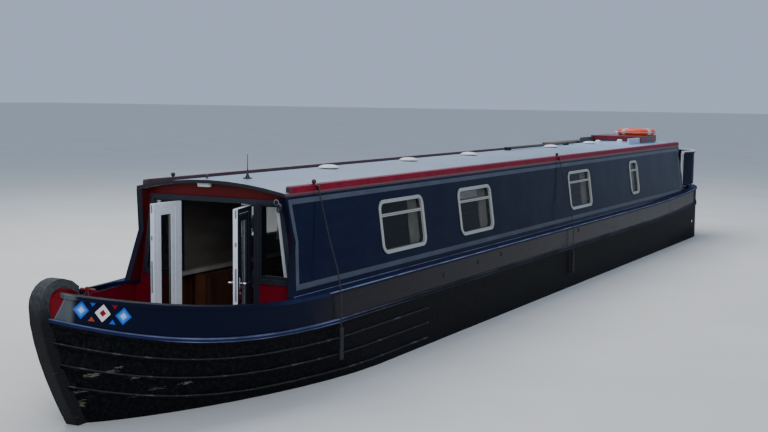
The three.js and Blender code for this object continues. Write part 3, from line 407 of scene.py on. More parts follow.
def edge_sheen_and_wear():
    """The outer edge of the decks, pale in places: painted highlight and wear."""
    finish = Finish("edge_sheen_and_wear")
    wear = finish.noise(7.0, 5.0, stretch=(0.4, 1.0, 1.0))
    return finish.done(colour=finish.mix(wear.fade(0.35, 0.6), srgb(58, 66, 98), srgb(122, 132, 160)),
                       roughness=0.35 + 0.2 * wear, height=wear, depth=0.0006)


STERN_CAP_FOOT = 2.026            # the cap over the stern panel is white above this


def stern_panel():
    """Navy panel whose cap is white along its upper edge."""
    finish = Finish("stern_panel")
    _, _, z = finish.place()
    cloud = finish.noise(3.0, 4.0)
    navy = finish.mottle(cloud, srgb(7, 10, 28), srgb(12, 17, 40))
    white = finish.mottle(cloud, srgb(176, 180, 184), srgb(206, 210, 212))
    return finish.done(colour=finish.mix(z > STERN_CAP_FOOT, navy, white),
                       roughness=0.22 + 0.1 * cloud, height=cloud, depth=0.0005, specular=0.06)


def band_rubber():
    """Old rubber: black, greyed on its upper side by dust and a painted highlight, and scored in front."""
    finish = Finish("band_rubber")
    _, y, z = finish.place()
    cloud = finish.noise(34.0, 6.0, roughness=0.6)
    scores = finish.noise(3.0, 5.0, stretch=(4.0, 4.0, 22.0))
    front = 1 - abs(y).fade(0.034, 0.056)
    # Upper side greyed: dust and painted highlight.
    dust_and_sheen = z.fade(1.30, 1.58) * (0.4 + 0.6 * cloud.fade(0.3, 0.7))
    ground = finish.mottle(cloud, srgb(16, 16, 19), srgb(26, 26, 29))
    ground = finish.mix(front * 0.3, ground, srgb(48, 44, 42))
    ground = finish.mix(dust_and_sheen * 0.7, ground, srgb(84, 88, 90))
    ground = finish.mix(scores.fade(0.62, 0.7) * 0.35, ground, srgb(74, 76, 74))
    return finish.done(colour=ground,
                       roughness=0.68 + 0.2 * cloud,
                       height=cloud + scores.fade(0.6, 0.7) * 0.5, depth=0.0018, specular=0.18)


def bulkhead_paint():
    """Crimson, browned by weather under the roof's lip, and with painted light making it brighter towards
    its foot.
    """
    finish = Finish("bulkhead_paint")
    _, y, z = finish.place()
    cloud = finish.noise(3.5, 5.0)
    ground = finish.mottle(cloud, srgb(78, 7, 16), srgb(96, 11, 20))
    top = z.fade(2.05, 2.14) * (1 - abs(y - 0.05).fade(0.1, 0.9))
    # Brighter red towards the foot: painted light.
    ground = finish.mix(1 - z.fade(1.2, 1.9), ground, srgb(112, 12, 30))
    ground = finish.mix(top * 0.5, ground, srgb(88, 34, 18))
    return finish.done(colour=ground,
                       roughness=0.34 + 0.15 * cloud, height=cloud, depth=0.0006, specular=0.15)


def lining_paint():
    """The cabin side's inner face: brown-grey boards inside, crimson ahead of the bulkhead."""
    finish = Finish("lining")
    x, _, _ = finish.place()
    cloud = finish.noise(6.0, 4.0, stretch=(0.3, 1.0, 1.0))
    ground = finish.mottle(cloud, srgb(78, 72, 67), srgb(98, 92, 87))
    return finish.done(colour=finish.mix(x > 6.05, ground, srgb(78, 8, 16)),
                       roughness=0.45 + 0.1 * cloud, height=cloud, depth=0.0005)


def chequer_plate():
    """Painted deck plate with its raised lozenges."""
    finish = Finish("chequer_plate")
    x, y, _ = finish.place()
    wear = finish.noise(6.0, 5.0)
    pitch = 0.034
    cell_x = (x + y).fold(pitch)
    cell_y = (x - y).fold(pitch)
    lozenge = 1 - abs(cell_x - pitch / 2).fade(0.003, 0.006)
    lozenge = lozenge * cell_y.fade(0.006, 0.012)
    ground = finish.mix(wear.fade(0.4, 0.7), srgb(56, 62, 74), srgb(84, 88, 92))
    ground = finish.mix(lozenge * wear.fade(0.35, 0.6) * 0.6, ground, srgb(128, 130, 132))
    return finish.done(colour=ground,
                       roughness=0.55 - 0.15 * lozenge,
                       height=lozenge * 1.0 + wear * 0.2, depth=0.0015)


def wood(name, light, dark, rings=14.0, roughness=0.5, along=(0.12, 1.0, 1.0)):
    """Timber whose grain runs along the boat unless the stretch says otherwise."""
    finish = Finish(name)
    warp = finish.noise(rings, 5.0, stretch=along, roughness=0.6)
    grain = finish.noise(rings * 9, 3.0, stretch=along)
    figure = (warp * 0.7 + grain * 0.3).fade(0.35, 0.65)
    return finish.done(colour=finish.mix(figure, dark, light),
                       roughness=roughness * (0.8 + 0.4 * warp), height=grain, depth=0.0006)


def boards():
    """Oiled floor boards that run along the cabin."""
    finish = Finish("floor_boards")
    _, y, _ = finish.place()
    warp = finish.noise(12.0, 5.0, stretch=(0.12, 1.0, 1.0))
    tone = finish.noise(1.0, 1.0, stretch=(0.3, 8.0, 1.0))
    seam = y.fold(0.06)
    joint = 1 - seam.fade(0.0005, 0.003)
    ground = finish.mix(warp.fade(0.35, 0.65), srgb(78, 46, 26), srgb(122, 80, 48))
    ground = finish.mix(tone.fade(0.3, 0.7) * 0.4, ground, srgb(64, 40, 24))
    ground = finish.mix(joint, ground, srgb(20, 14, 10))
    return finish.done(colour=ground,
                       roughness=0.36 + 0.2 * warp, height=warp * 0.3 - joint, depth=0.0015)


def clear_glass(name, tint, cover):
    """Glass that lets light through: cover is the share of its own dark, shining surface."""
    finish = Finish(name)
    haze = finish.noise(8.0, 3.0)
    deep = tuple(c * 0.8 for c in tint[:3]) + (1.0,)
    return finish.done(colour=finish.mix(haze.fade(0.3, 0.9) * 0.3, tint, deep),
                       roughness=0.02 + 0.03 * haze.fade(0.5, 0.8), specular=0.18,
                       Alpha=cover + 0.05 * haze)


def curtain_cloth():
    """Cream cloth, woven fine."""
    finish = Finish("curtain_cloth")
    weave = finish.noise(900.0, 2.0)
    warm = finish.noise(6.0, 3.0)
    cloth = finish.mix(warm.fade(0.35, 0.7), srgb(198, 194, 178), srgb(222, 218, 202))
    return finish.done(colour=cloth, roughness=0.85 + 0.1 * weave, height=weave, depth=0.0004,
                       Sheen_Weight=0.3)


def lifebuoy_skin():
    """Orange shell with four bands of pale tape, told apart by the angle round the ring."""
    finish = Finish("lifebuoy_skin")
    x, y, _ = finish.place()
    across, along = y - BUOY[1], x - BUOY[0]
    angle = across.math("ARCTAN2", across, along)
    swing = (angle + BUOY_TURN).fold(math.pi / 4)
    band = swing < 0.13
    cloud = finish.noise(16.0, 4.0)
    ground = finish.mix(cloud.fade(0.3, 0.75), srgb(240, 74, 38), srgb(214, 62, 34))
    tape = finish.mix(cloud.fade(0.4, 0.7), srgb(206, 196, 190), srgb(176, 164, 158))
    return finish.done(colour=finish.mix(band, ground, tape),
                       roughness=0.42 - 0.1 * band, height=cloud + band * 0.8, depth=0.0012)


def laid_rope(name, light, dark):
    """Rope whose strands wind about it, along the piece's own UV map."""
    finish = Finish(name)
    turn, run, _ = finish.place(2)
    strand = (run + turn * 3.0).fold(0.5)
    fuzz = finish.noise(500.0, 3.0)
    return finish.done(colour=finish.mix((strand * 2.0).fade(0.1, 0.7), dark, light),
                       roughness=0.8 + 0.1 * fuzz, height=strand * 2.0 + fuzz * 0.3, depth=0.0012)


HULL_PAINT = hull_paint()
CABIN_PAINT = cabin_paint()
ROOF_PAINT = roof_paint()
DECK_PAINT = deck_paint()
BAND_RUBBER = band_rubber()
BULKHEAD_PAINT = bulkhead_paint()
STERN_PANEL = stern_panel()
CHEQUER_PLATE = chequer_plate()
BUOY_SKIN = lifebuoy_skin()
BUOY_TAPE = plain("buoy_tape", srgb(206, 196, 190), 0.4, grain=30.0)
CURTAIN = curtain_cloth()
FLOOR_BOARDS = boards()
RAIL_PAINT = plain("rail_paint", srgb(118, 10, 38), 0.4, grain=9.0, uneven=0.2, specular=0.06)
RAIL_SHADE = plain("rail_shade", srgb(58, 34, 36), 0.5, grain=9.0, uneven=0.2)
HATCH_PAINT = plain("hatch_paint", srgb(104, 18, 34), 0.36, grain=7.0, uneven=0.22)
STEM_RED = plain("stem_red", CRIMSON, 0.4, grain=12.0, uneven=0.15, specular=0.35)
FRAME_PAINT = plain("frame_paint", srgb(42, 44, 52), 0.42, grain=30.0, specular=0.2)
DOOR_WHITE = plain("door_white", srgb(222, 226, 234), 0.33, grain=14.0, uneven=0.04)
DOOR_DARK = plain("door_dark", srgb(22, 25, 36), 0.38, grain=40.0, specular=0.2)
EDGE_BLACK = plain("edge_black", srgb(14, 15, 20), 0.4, grain=20.0)
NAVY_GLOSS = plain("navy_gloss", srgb(10, 14, 34), 0.24, grain=3.0, uneven=0.2, specular=0.2)
EDGE_SHEEN_AND_WEAR = edge_sheen_and_wear()
# The runners' paint as one lit and one shaded copy: painted shade, then painted light.
RUNNER_PAINTED_SHADE = plain("runner_painted_shade", srgb(56, 62, 72), 0.5, grain=12.0)
RUNNER_PAINTED_LIGHT = plain("runner_painted_light", srgb(178, 196, 214), 0.5, grain=12.0)
KEEP_GREY = plain("keep_grey", srgb(120, 124, 128), 0.45, grain=60.0)
WINDOW_METAL = plain("window_metal", srgb(166, 169, 163), 0.4, metallic=0.4, grain=120.0, uneven=0.08)
BRIGHT_STEEL = plain("bright_steel", srgb(206, 206, 206), 0.16, metallic=1.0, grain=90.0, uneven=0.04)
WARM_BRASS = plain("warm_brass", srgb(186, 146, 74), 0.28, metallic=1.0, grain=50.0, uneven=0.15)
BRONZE = plain("bronze", srgb(150, 112, 62), 0.34, metallic=1.0, grain=30.0, uneven=0.25)
ZINC = plain("zinc", srgb(140, 142, 140), 0.7, metallic=0.6, grain=40.0, uneven=0.2, relief=0.001)
RUBBER = plain("rubber", srgb(30, 31, 34), 0.6, grain=38.0, uneven=0.3, relief=0.002, specular=0.3)
SEAL = plain("seal", srgb(14, 14, 15), 0.6, grain=200.0)
VENT_WHITE = plain("vent_white", srgb(214, 218, 220), 0.38, grain=20.0, uneven=0.08)
LAMP_WHITE = plain("lamp_white", srgb(232, 232, 226), 0.25, grain=10.0, uneven=0.03)
LENS = plain("lens", srgb(246, 244, 232), 0.12, grain=90.0, uneven=0.03, coat=0.5)
BLACK_PLASTIC = plain("black_plastic", srgb(16, 16, 18), 0.42, grain=60.0)
ENGINE_PAINT = plain("engine_paint", srgb(46, 74, 66), 0.4, grain=9.0, uneven=0.2)
LINING = lining_paint()
CEILING = plain("ceiling", srgb(206, 204, 198), 0.55, grain=8.0, uneven=0.06)
SHELF_WHITE = plain("shelf_white", srgb(150, 148, 144), 0.45, grain=12.0)
POLE_WOOD = wood("pole_wood", srgb(86, 64, 48), srgb(50, 38, 30), rings=22.0)
TILLER_WOOD = wood("tiller_wood", srgb(128, 70, 36), srgb(84, 42, 20), rings=30.0, roughness=0.3)
CABINET_WOOD = wood("cabinet_wood", srgb(92, 56, 32), srgb(60, 34, 18), rings=9.0, along=(1.0, 1.0, 0.12))
ROPE_BLACK = laid_rope("rope_black", srgb(52, 52, 56), srgb(12, 12, 14))
ROPE_WHITE = laid_rope("rope_white", srgb(216, 206, 184), srgb(130, 120, 100))
PANE = clear_glass("pane", srgb(10, 13, 12), 0.4)
DOOR_PANE = clear_glass("door_pane", srgb(20, 24, 24), 0.2)


# Modelling

def alone(obj):
    """Makes one object the active one and the only one selected."""
    for other in bpy.context.selected_objects:
        other.select_set(False)
    obj.select_set(True)
    bpy.context.view_layer.objects.active = obj


def linked(name, data):
    """A new object in the scene round its data."""
    obj = bpy.data.objects.new(name, data)
    bpy.context.scene.collection.objects.link(obj)
    return obj


@contextmanager
def editing(obj, kind="FACE"):
    """Edit mode on one object with nothing selected."""
    alone(obj)
    bpy.ops.object.mode_set(mode="EDIT")
    bpy.ops.mesh.select_mode(type=kind)
    bpy.ops.mesh.select_all(action="DESELECT")
    yield
    bpy.ops.object.mode_set(mode="OBJECT")


def weld(distance):
    """Merges points closer than the distance, over the whole of the piece being edited."""
    bpy.ops.mesh.select_all(action="SELECT")
    bpy.ops.mesh.remove_doubles(threshold=distance)


def pick(obj, kind, test):
    """Selects the faces or edges that pass the test, and nothing else."""
    bpy.ops.mesh.select_mode(type=kind)
    bpy.ops.mesh.select_all(action="DESELECT")
    shape = bmesh.from_edit_mesh(obj.data)
    for item in shape.faces if kind == "FACE" else shape.edges:
        if test(item):
            item.select_set(True)
    bmesh.update_edit_mesh(obj.data)


def pick_faces(obj, test):
    """Selects the faces whose middle and outward direction pass the test."""
    pick(obj, "FACE", lambda face: test(face.calc_center_median(), face.normal))


def pick_edges(obj, test):
    """Selects the edges whose two ends pass the test."""
    pick(obj, "EDGE", lambda edge: test(edge.verts[0].co, edge.verts[1].co))


def added(name):
    """The object just made, named, its place and turn put into its mesh."""
    obj = bpy.context.object
    obj.name = name
    alone(obj)
    bpy.ops.object.transform_apply(location=True, rotation=True, scale=True)
    return obj


def box(name, low, high):
    low, high = Vector(low), Vector(high)
    bpy.ops.mesh.primitive_cube_add(size=1, location=(low + high) / 2, scale=high - low)
    return added(name)


def bar(name, start, end, radius, sides=20, tip=None):
    """A round bar between two points, tapering to tip where that is given."""
    start, end = Vector(start), Vector(end)
    run = end - start
    tip = radius if tip is None else tip
    bpy.ops.mesh.primitive_cone_add(vertices=sides, radius1=radius, radius2=tip, depth=run.length,
                                    location=(start + end) / 2)
    bpy.context.object.rotation_mode = "QUATERNION"
    bpy.context.object.rotation_quaternion = run.to_track_quat("Z", "Y")
    return added(name)


def ball(name, centre, radius, segments=20):
    bpy.ops.mesh.primitive_uv_sphere_add(segments=segments, ring_count=segments // 2, radius=radius,
                                         location=centre)
    return added(name)


def ring(name, centre, major, minor, turn=(0, 0, 0), steps=32, sides=10):
    bpy.ops.mesh.primitive_torus_add(major_radius=major, minor_radius=minor, major_segments=steps,
                                     minor_segments=sides, location=centre, rotation=turn)
    return added(name)


def dome(name, centre, profile, sides=32):
    """A turned shape: profile holds (radius, height) pairs from the foot, spun about an upright axis."""
    mesh = bpy.data.meshes.new(name)
    line = [(centre[0] + radius, centre[1], centre[2] + height) for radius, height in profile]
    mesh.from_pydata(line, [(i, i + 1) for i in range(len(line) - 1)], [])
    obj = linked(name, mesh)
    with editing(obj, "VERT"):
        bpy.ops.mesh.select_all(action="SELECT")
        bpy.ops.mesh.spin(steps=sides, angle=2 * math.pi, center=centre, axis=(0, 0, 1))
        weld(0.00002)
        bpy.ops.mesh.normals_make_consistent(inside=False)
    return obj


def rim(name, low, high, width, corner=0.0, axis=1, lean=0.0, steps=6):
    """A flat ring across the axis: round corners by bevel, the opening by inset and bridge."""
    obj = box(name, low, high)
    with editing(obj):
        if lean:
            pick_edges(obj, lambda a, b: (
                min(a.z, b.z) > high[2] - 1e-5 and min(a.y, b.y) > high[1] - 1e-5))
            bpy.ops.transform.translate(value=(0, lean, 0))
        if corner:
            pick_edges(obj, lambda a, b: abs(a[axis] - b[axis]) > 1e-5)
            bpy.ops.mesh.bevel(offset=corner, segments=steps, affect="EDGES")
        pick_faces(obj, lambda at, out: abs(out[axis]) > 0.9)
        bpy.ops.mesh.inset(thickness=width)
        bpy.ops.mesh.bridge_edge_loops()
    return obj


def tube(name, points, radius, sides=12, smooth_line=True, closed=False):
    """A round tube along a smooth or straight line, with closed ends."""
    data = bpy.data.curves.new(name, "CURVE")
    data.dimensions = "3D"
    data.bevel_depth = radius
    data.bevel_resolution = max(1, sides // 4 - 1)
    data.use_fill_caps = not closed
    data.resolution_u = 6
    spline = data.splines.new("BEZIER" if smooth_line else "POLY")
    knots = spline.bezier_points if smooth_line else spline.points
    knots.add(len(points) - 1)
    for knot, point in zip(knots, points):
        if smooth_line:
            knot.co = point
            knot.handle_left_type = knot.handle_right_type = "AUTO"
        else:
            knot.co = (*point, 1.0)
    spline.use_cyclic_u = closed
    alone(linked(name, data))
    bpy.ops.object.convert(target="MESH")
    obj = bpy.context.object
    with editing(obj, "VERT"):
        weld(0.00001)
        bpy.ops.mesh.normals_make_consistent(inside=False)
    return obj


def rope(name, points, radius, material, closed=False):
    """A rope as a smooth tube whose UV map counts turns round it and strands along it."""
    obj = tube(name, points, radius, closed=closed)
    layer = obj.data.uv_layers.active or obj.data.uv_layers.new(name="lay")
    route = [Vector(point) for point in points]
    if closed:
        route.append(route[0])
    lengths = [0.0]
    for a, b in zip(route, route[1:]):
        lengths.append(lengths[-1] + (b - a).length)

    def station(point):
        """The angle about the rope at a point of its skin, and how far along it the point lies."""
        best = None
        for i, (a, b) in enumerate(zip(route, route[1:])):
            run = b - a
            share = min(1.0, max(0.0, (point - a).dot(run) / run.length_squared))
            off = point - (a + run * share)
            if best is None or off.length < best[0]:
                best = (off.length, lengths[i] + share * run.length, off, run.normalized())
        _, along, off, run = best
        side = run.orthogonal().normalized()
        return math.atan2(off.dot(run.cross(side)), off.dot(side)) / (2 * math.pi), along / (radius * 5)

    for loop in obj.data.loops:
        layer.data[loop.index].uv = station(obj.data.vertices[loop.vertex_index].co)
    return coat(obj, material)


def modify(obj, kind, **settings):
    """Gives an object one modifier and applies it."""
    alone(obj)
    modifier = obj.modifiers.new(kind.lower(), kind)
    for key, value in settings.items():
        setattr(modifier, key, value)
    bpy.ops.object.modifier_apply(modifier=modifier.name)


def soften(obj, width, segments=2):
    """Eases the sharp edges by a small bevel."""
    modify(obj, "BEVEL", width=width, segments=segments, limit_method="ANGLE",
           angle_limit=math.radians(38), use_clamp_overlap=True, miter_outer="MITER_ARC")
    return obj


def joined(name, pieces):
    """One piece made of several, whose materials it keeps."""
    alone(pieces[0])
    for piece in pieces[1:]:
        piece.select_set(True)
    if len(pieces) > 1:
        bpy.ops.object.join()
    pieces[0].name = name
    return pieces[0]


def coat(obj, material):
    """Gives a piece its one material."""
    obj.data.materials.clear()
    obj.data.materials.append(material)
    return obj


def coat_all(material, *pieces):
    return [coat(piece, material) for piece in pieces]


def block(name, low, high, material, ease=0.0, segments=2):
    """A box with eased edges and its material."""
    made = box(name, low, high)
    if ease:
        soften(made, ease, segments)
    return coat(made, material)


def coat_where(obj, material, test):
    """Gives a further material to the faces whose middle and outward direction pass the test."""
    obj.data.materials.append(material)
    index = len(obj.data.materials) - 1
    for face in obj.data.polygons:
        if test(face.center, face.normal):
            face.material_index = index
    return obj


def settle(obj, body="boat", stands_for=()):
    """Finishes a piece: its shading, the body that it rides on, and the CAD parts that it stands for
    hidden.
    """
    alone(obj)
    bpy.ops.object.shade_smooth_by_angle(angle=math.radians(32))
    modify(obj, "WEIGHTED_NORMAL", keep_sharp=True, weight=60)
    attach(obj, body)
    if stands_for:
        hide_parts(*stands_for)
    return obj


def moved(piece, matrix):
    """Puts a piece in place by a matrix, its faces kept outward where that mirrors it."""
    piece.data.transform(matrix)
    if matrix.determinant() < 0:
        piece.data.flip_normals()
    return piece


def copied(source, name, matrix):
    """A copy with its own mesh, put in place by a matrix."""
    return moved(linked(name, source.data.copy()), matrix)


def discard(*pieces):
    for piece in pieces:
        bpy.data.objects.remove(piece, do_unlink=True)


MIRROR = Matrix.Scale(-1, 4, (0, 1, 0))
SIDES = (("port", Matrix.Identity(4)), ("starboard", MIRROR))


def dressed_copy(node, material, width=0.0, segments=2, merge=True):
    """A copy of a CAD node with eased edges, its flat faces merged when merge is on."""
    piece = linked(node + "_finished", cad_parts[node].data.copy())
    with editing(piece, "VERT"):
        weld(0.00002)
        if merge:
            bpy.ops.mesh.dissolve_limited(angle_limit=math.radians(0.3))
    coat(piece, material)
    if width:
        soften(piece, width, segments)
    return piece


def redressed(node, material, width, body="boat", segments=2, merge=True):
    """A dressed copy that stands for its node."""
    return settle(dressed_copy(node, material, width, segments, merge), body, [node])


# Hull and decks

ANODES_AT = (4.2, 0.2, -3.8)      # along the boat, on both sides


def hull():
    """The hull with its timber lining inside, the decks and floors, the stem band and the anodes."""
    shell = dressed_copy("hull_shell", HULL_PAINT, merge=False)
    coat_where(shell, CABINET_WOOD, lambda at, out: (
        at.y * out.y < 0 and abs(out.y) > 0.5 and abs(at.y) < INNER_SKIN
        and -6.4 < at.x < BULKHEAD_X and at.z > 0.3))
    coat_where(shell, BULKHEAD_PAINT, lambda at, out: (
        at.y * out.y < 0 and abs(out.z) < 0.3 and abs(at.y) < INNER_SKIN
        and at.x > BULKHEAD_X and at.z > 0.6))
    with editing(shell, "EDGE"):
        pick_edges(shell, lambda a, b: min(a.x, b.x) > 8.05 and min(a.z, b.z) > 1.1)
        bpy.ops.mesh.mark_sharp()
    settle(shell, stands_for=["hull_shell"])
    for side, _ in SIDES:
        deck = dressed_copy(f"side_deck_{side}", DECK_PAINT, 0.006)
        # The decks' bevelled outer edge gets the pale edge paint: painted highlight and wear.
        coat_where(deck, EDGE_SHEEN_AND_WEAR, lambda at, out: at.y * out.y > 0.02 and 0.2 < out.z < 0.95)
        settle(deck, stands_for=[f"side_deck_{side}"])
    redressed("stem_band", BAND_RUBBER, 0.026, segments=5)
    redressed("base_plate", EDGE_BLACK, 0.0)
    redressed("foredeck", STEM_RED, 0.003, merge=False)
    redressed("well_deck", CHEQUER_PLATE, 0.0)
    redressed("stern_deck", CHEQUER_PLATE, 0.003, merge=False)
    redressed("cabin_floor", FLOOR_BOARDS, 0.0)
    for number, x in enumerate(ANODES_AT):
        lug = block("anode", (x - 0.12, 1.012, 0.12), (x + 0.12, 1.046, 0.20), ZINC, 0.012, 3)
        for side, place in SIDES:
            settle(copied(lug, f"anode_{side}_{number + 1}", place))
        discard(lug)


SKIN_FITTINGS = [(3.505, 1.134), (2.628, 1.166), (1.97, 1.181), (-0.724, 1.205)]   # x and z, port side


def outlets():
    """Skin fittings in the port side, and the exhaust's outlet at the stern."""
    for i, (x, z) in enumerate(SKIN_FITTINGS):
        flange = ring("flange", (x, 1.028, z), 0.021, 0.006, (math.pi / 2, 0, 0), 24, 8)
        bore = bar("bore", (x, 1.02, z), (x, 1.0285, z), 0.017)
        parts = [coat(flange, EDGE_BLACK), coat(bore, SEAL)]
        settle(joined(f"skin_fitting_{i + 1}", parts))
    pipe = tube("exhaust_outlet", [(-6.95, 1.0, 0.78), (-6.95, 1.035, 0.78)], 0.024, 20, False)
    settle(coat(pipe, BRIGHT_STEEL))


STUD_X = 7.735
STUD_PROFILE = [(0, 0), (0.048, 0), (0.048, 0.009), (0.044, 0.013), (0.026, 0.018), (0.022, 0.026),
                (0.022, 0.205), (0.019, 0.2125), (0, 0.2145)]


def foredeck_fittings():
    """Locker lid, and the mooring stud with its bolts."""
    redressed("locker_lid", STEM_RED, 0.004, "locker_lid")
    foot = dome("stud_foot", (STUD_X, 0, 1.2903), STUD_PROFILE, 28)
    arm = soften(bar("stud_arm", (STUD_X, -0.075, 1.478), (STUD_X, 0.075, 1.478), 0.015, 24), 0.005, 3)
    parts = [foot, arm]
    for i in range(6):
        angle = 0.5 + 1.05 * i
        x, y = STUD_X + 0.036 * math.cos(angle), 0.036 * math.sin(angle)
        parts.append(soften(bar("bolt", (x, y, 1.298), (x, y, 1.3075), 0.006, 6), 0.001))
    settle(joined("mooring_stud", coat_all(STEM_RED, *parts)), stands_for=["t_stud"])


# Cabin sides and windows

LEAN_OUT = Matrix(((1, 0, 0, 0), (0, 1, -LEAN, CABIN_HALF + LEAN * GUNWALE), (0, 0, 1, 0), (0, 0, 0, 1)))
WINDOWS = [
    (4.135, 0.95, 1.46, 1.98),
    (2.345, 0.91, 1.46, 1.98),
    (-1.230, 0.91, 1.46, 1.98),
    (-3.835, 0.43, 1.48, 2.00),
]
FLANGE = 0.022
LIP = 0.036                       # flange and inner lip together
CORNER = 0.095


def window_frame(width, sill, head):
    """A window's frame at x = 0, y being how far a point stands out from the cabin side."""
    half = width / 2
    bar_z = head - 0.29 * (head - sill)
    flange = rim("flange", (-half, 0.0004, sill), (half, 0.014, head), LIP, CORNER, steps=8)
    soften(flange, 0.0035, 3)
    step = rim("step", (-half + 0.012, 0.010, sill + 0.012), (half - 0.012, 0.0175, head - 0.012),
               0.014, CORNER - 0.012, steps=8)
    soften(step, 0.002)
    inner = FLANGE + 0.0004
    body = rim("body", (-half + inner, -0.030, sill + inner), (half - inner, 0.004, head - inner),
               LIP - FLANGE, CORNER - FLANGE, steps=8)
    reach = half - FLANGE - 0.006
    rail = soften(box("rail", (-reach, -0.018, bar_z - 0.014), (reach, 0.009, bar_z + 0.014)), 0.004, 3)
    groove = box("groove", (-half + LIP, 0.0085, bar_z - 0.002), (half - LIP, 0.0096, bar_z + 0.002))
    parts = [flange, step, body, rail]
    for x in (-0.24 * width, 0.24 * width):
        catch = box("catch", (x - 0.022, -0.040, bar_z - 0.012), (x + 0.022, -0.017, bar_z + 0.006))
        parts.append(soften(catch, 0.004))
    coat_all(WINDOW_METAL, *parts)
    edge = LIP - 0.001
    seal = rim("seal", (-half + edge, -0.024, sill + edge), (half - edge, -0.013, head - edge),
               0.006, CORNER - LIP, steps=8)
    return joined("window_frame", parts + coat_all(SEAL, seal, groove))


def window_glass(width, sill, head):
    """The pane of a window, in the frame's own measure."""
    half = width / 2
    pane = box("window_glass", (-half + LIP - 0.004, -0.0205, sill + LIP - 0.004),
               (half - LIP + 0.004, -0.0165, head - LIP + 0.004))
    with editing(pane):
        pick_edges(pane, lambda a, b: abs(a.y - b.y) > 1e-5)
        bpy.ops.mesh.bevel(offset=CORNER - LIP, segments=8, affect="EDGES")
    return coat(pane, PANE)


def windows():
    """Frame and glass of every window, made once for each size."""
    made = {}
    for i, (x, width, sill, head) in enumerate(WINDOWS):
        if width not in made:
            made[width] = (window_frame(width, sill, head), window_glass(width, sill, head))
        frame_shape, glass_shape = made[width]
        for side, place in SIDES:
            seat = place @ LEAN_OUT @ Matrix.Translation((x, 0, 0))
            shape = copied(frame_shape, f"window_frame_{side}_{i + 1}", seat)
            settle(shape, stands_for=[f"window_{side}_{i + 1}"])
            settle(copied(glass_shape, f"window_glass_{side}_{i + 1}", seat))
    for pair in made.values():
        discard(*pair)


TRACK_FOOT = 2.034                # underside of the track that the curtains hang from
BELOW_SILL = 0.04                 # how far they reach below the windows' sills


def curtain(name, left, wide, low, high):
    """One gathered curtain in folds, pinched where it hangs from the track."""
    columns, rows, folds = 120, 24, 6
    points, faces = [], []
    for row in range(rows + 1):
        fall = row / rows
        z = high - (high - low) * fall
        swell = 0.0065 + 0.0055 * min(1.0, fall * 2.2)
        narrow = 1 - 0.10 * math.sin(min(1.0, fall * 1.6) * math.pi) ** 2
        for column in range(columns + 1):
            share = column / columns
            wave = math.sin(2 * math.pi * folds * share + 0.35 * math.sin(5 * share + 2.4 * fall))
            x = left + wide * share * narrow
            points.append((x, -0.0755 + swell * wave * (0.8 + 0.2 * math.sin(9 * share)), z))
    for row in range(rows):
        for column in range(columns):
            a = row * (columns + 1) + column
            faces.append((a, a + 1, a + columns + 2, a + columns + 1))
    mesh = bpy.data.meshes.new(name)
    mesh.from_pydata(points, [], faces)
    return coat(linked(name, mesh), CURTAIN)


def curtains():
    """A curtain drawn to the after side of each window, hung from a track."""
    for side, place in SIDES:
        low, high = (-4.2, -0.088, TRACK_FOOT), (4.7, -0.0625, TRACK_FOOT + 0.018)
        track = block(f"curtain_track_{side}", low, high, WINDOW_METAL, 0.004)
        settle(moved(track, place @ LEAN_OUT), stands_for=[f"curtains_{side}"])
        for i, (x, width, sill, _) in enumerate(WINDOWS):
            wide = min(0.24, width * 0.45)
            hem = sill - BELOW_SILL
            cloth = curtain(f"curtain_{side}_{i + 1}", x - width / 2 - 0.03, wide, hem, TRACK_FOOT)
            hung = moved(cloth, place @ LEAN_OUT)
            settle(hung)


KNOBS_AT = (5.7, -0.485)          # along the roof rail, the second one to port only


def cabin():
    """Cabin sides lined inside, and the red rail along each edge of the roof."""
    for side, place in SIDES:
        wall = dressed_copy(f"cabin_side_{side}", CABIN_PAINT, 0.003, merge=False)
        coat_where(wall, LINING, lambda at, out: at.y * out.y < 0 and abs(out.y) > 0.9)
        coat_where(wall, NAVY_GLOSS, lambda at, out: out.x > 0.6 and at.x > 6.0)
        settle(wall, stands_for=[f"cabin_side_{side}"])
        rail = dressed_copy(f"handrail_{side}", RAIL_PAINT, 0.007, 3)
        coat_where(rail, RAIL_SHADE, lambda at, out: (
            at.y * out.y < 0 and abs(out.y) > 0.7) or out.x > 0.5)
        settle(rail, stands_for=[f"handrail_{side}"])
        for x in KNOBS_AT[:2 if side == "port" else 1]:
            knob = ball("knob", (x, 0.775, 2.226), 0.021, 24)
            neck = bar("neck", (x, 0.775, 2.203), (x, 0.775, 2.215), 0.009, 16)
            pair = joined(f"rail_knob_{side}_{1 if x > 0 else 2}", coat_all(BLACK_PLASTIC, knob, neck))
            settle(moved(pair, place))


# Front of the cabin: bulkhead, frame and doors

FRONT = 6.085                     # front face of the bulkhead
FRAME_FRONT = 6.105               # front face of the frame round the doors
LIGHT_FOOT, LIGHT_HEAD = 1.40, 2.035
LIGHT_SHIFT = -LEAN * (LIGHT_HEAD - LIGHT_FOOT)   # how far the leaning edge of a side light goes in


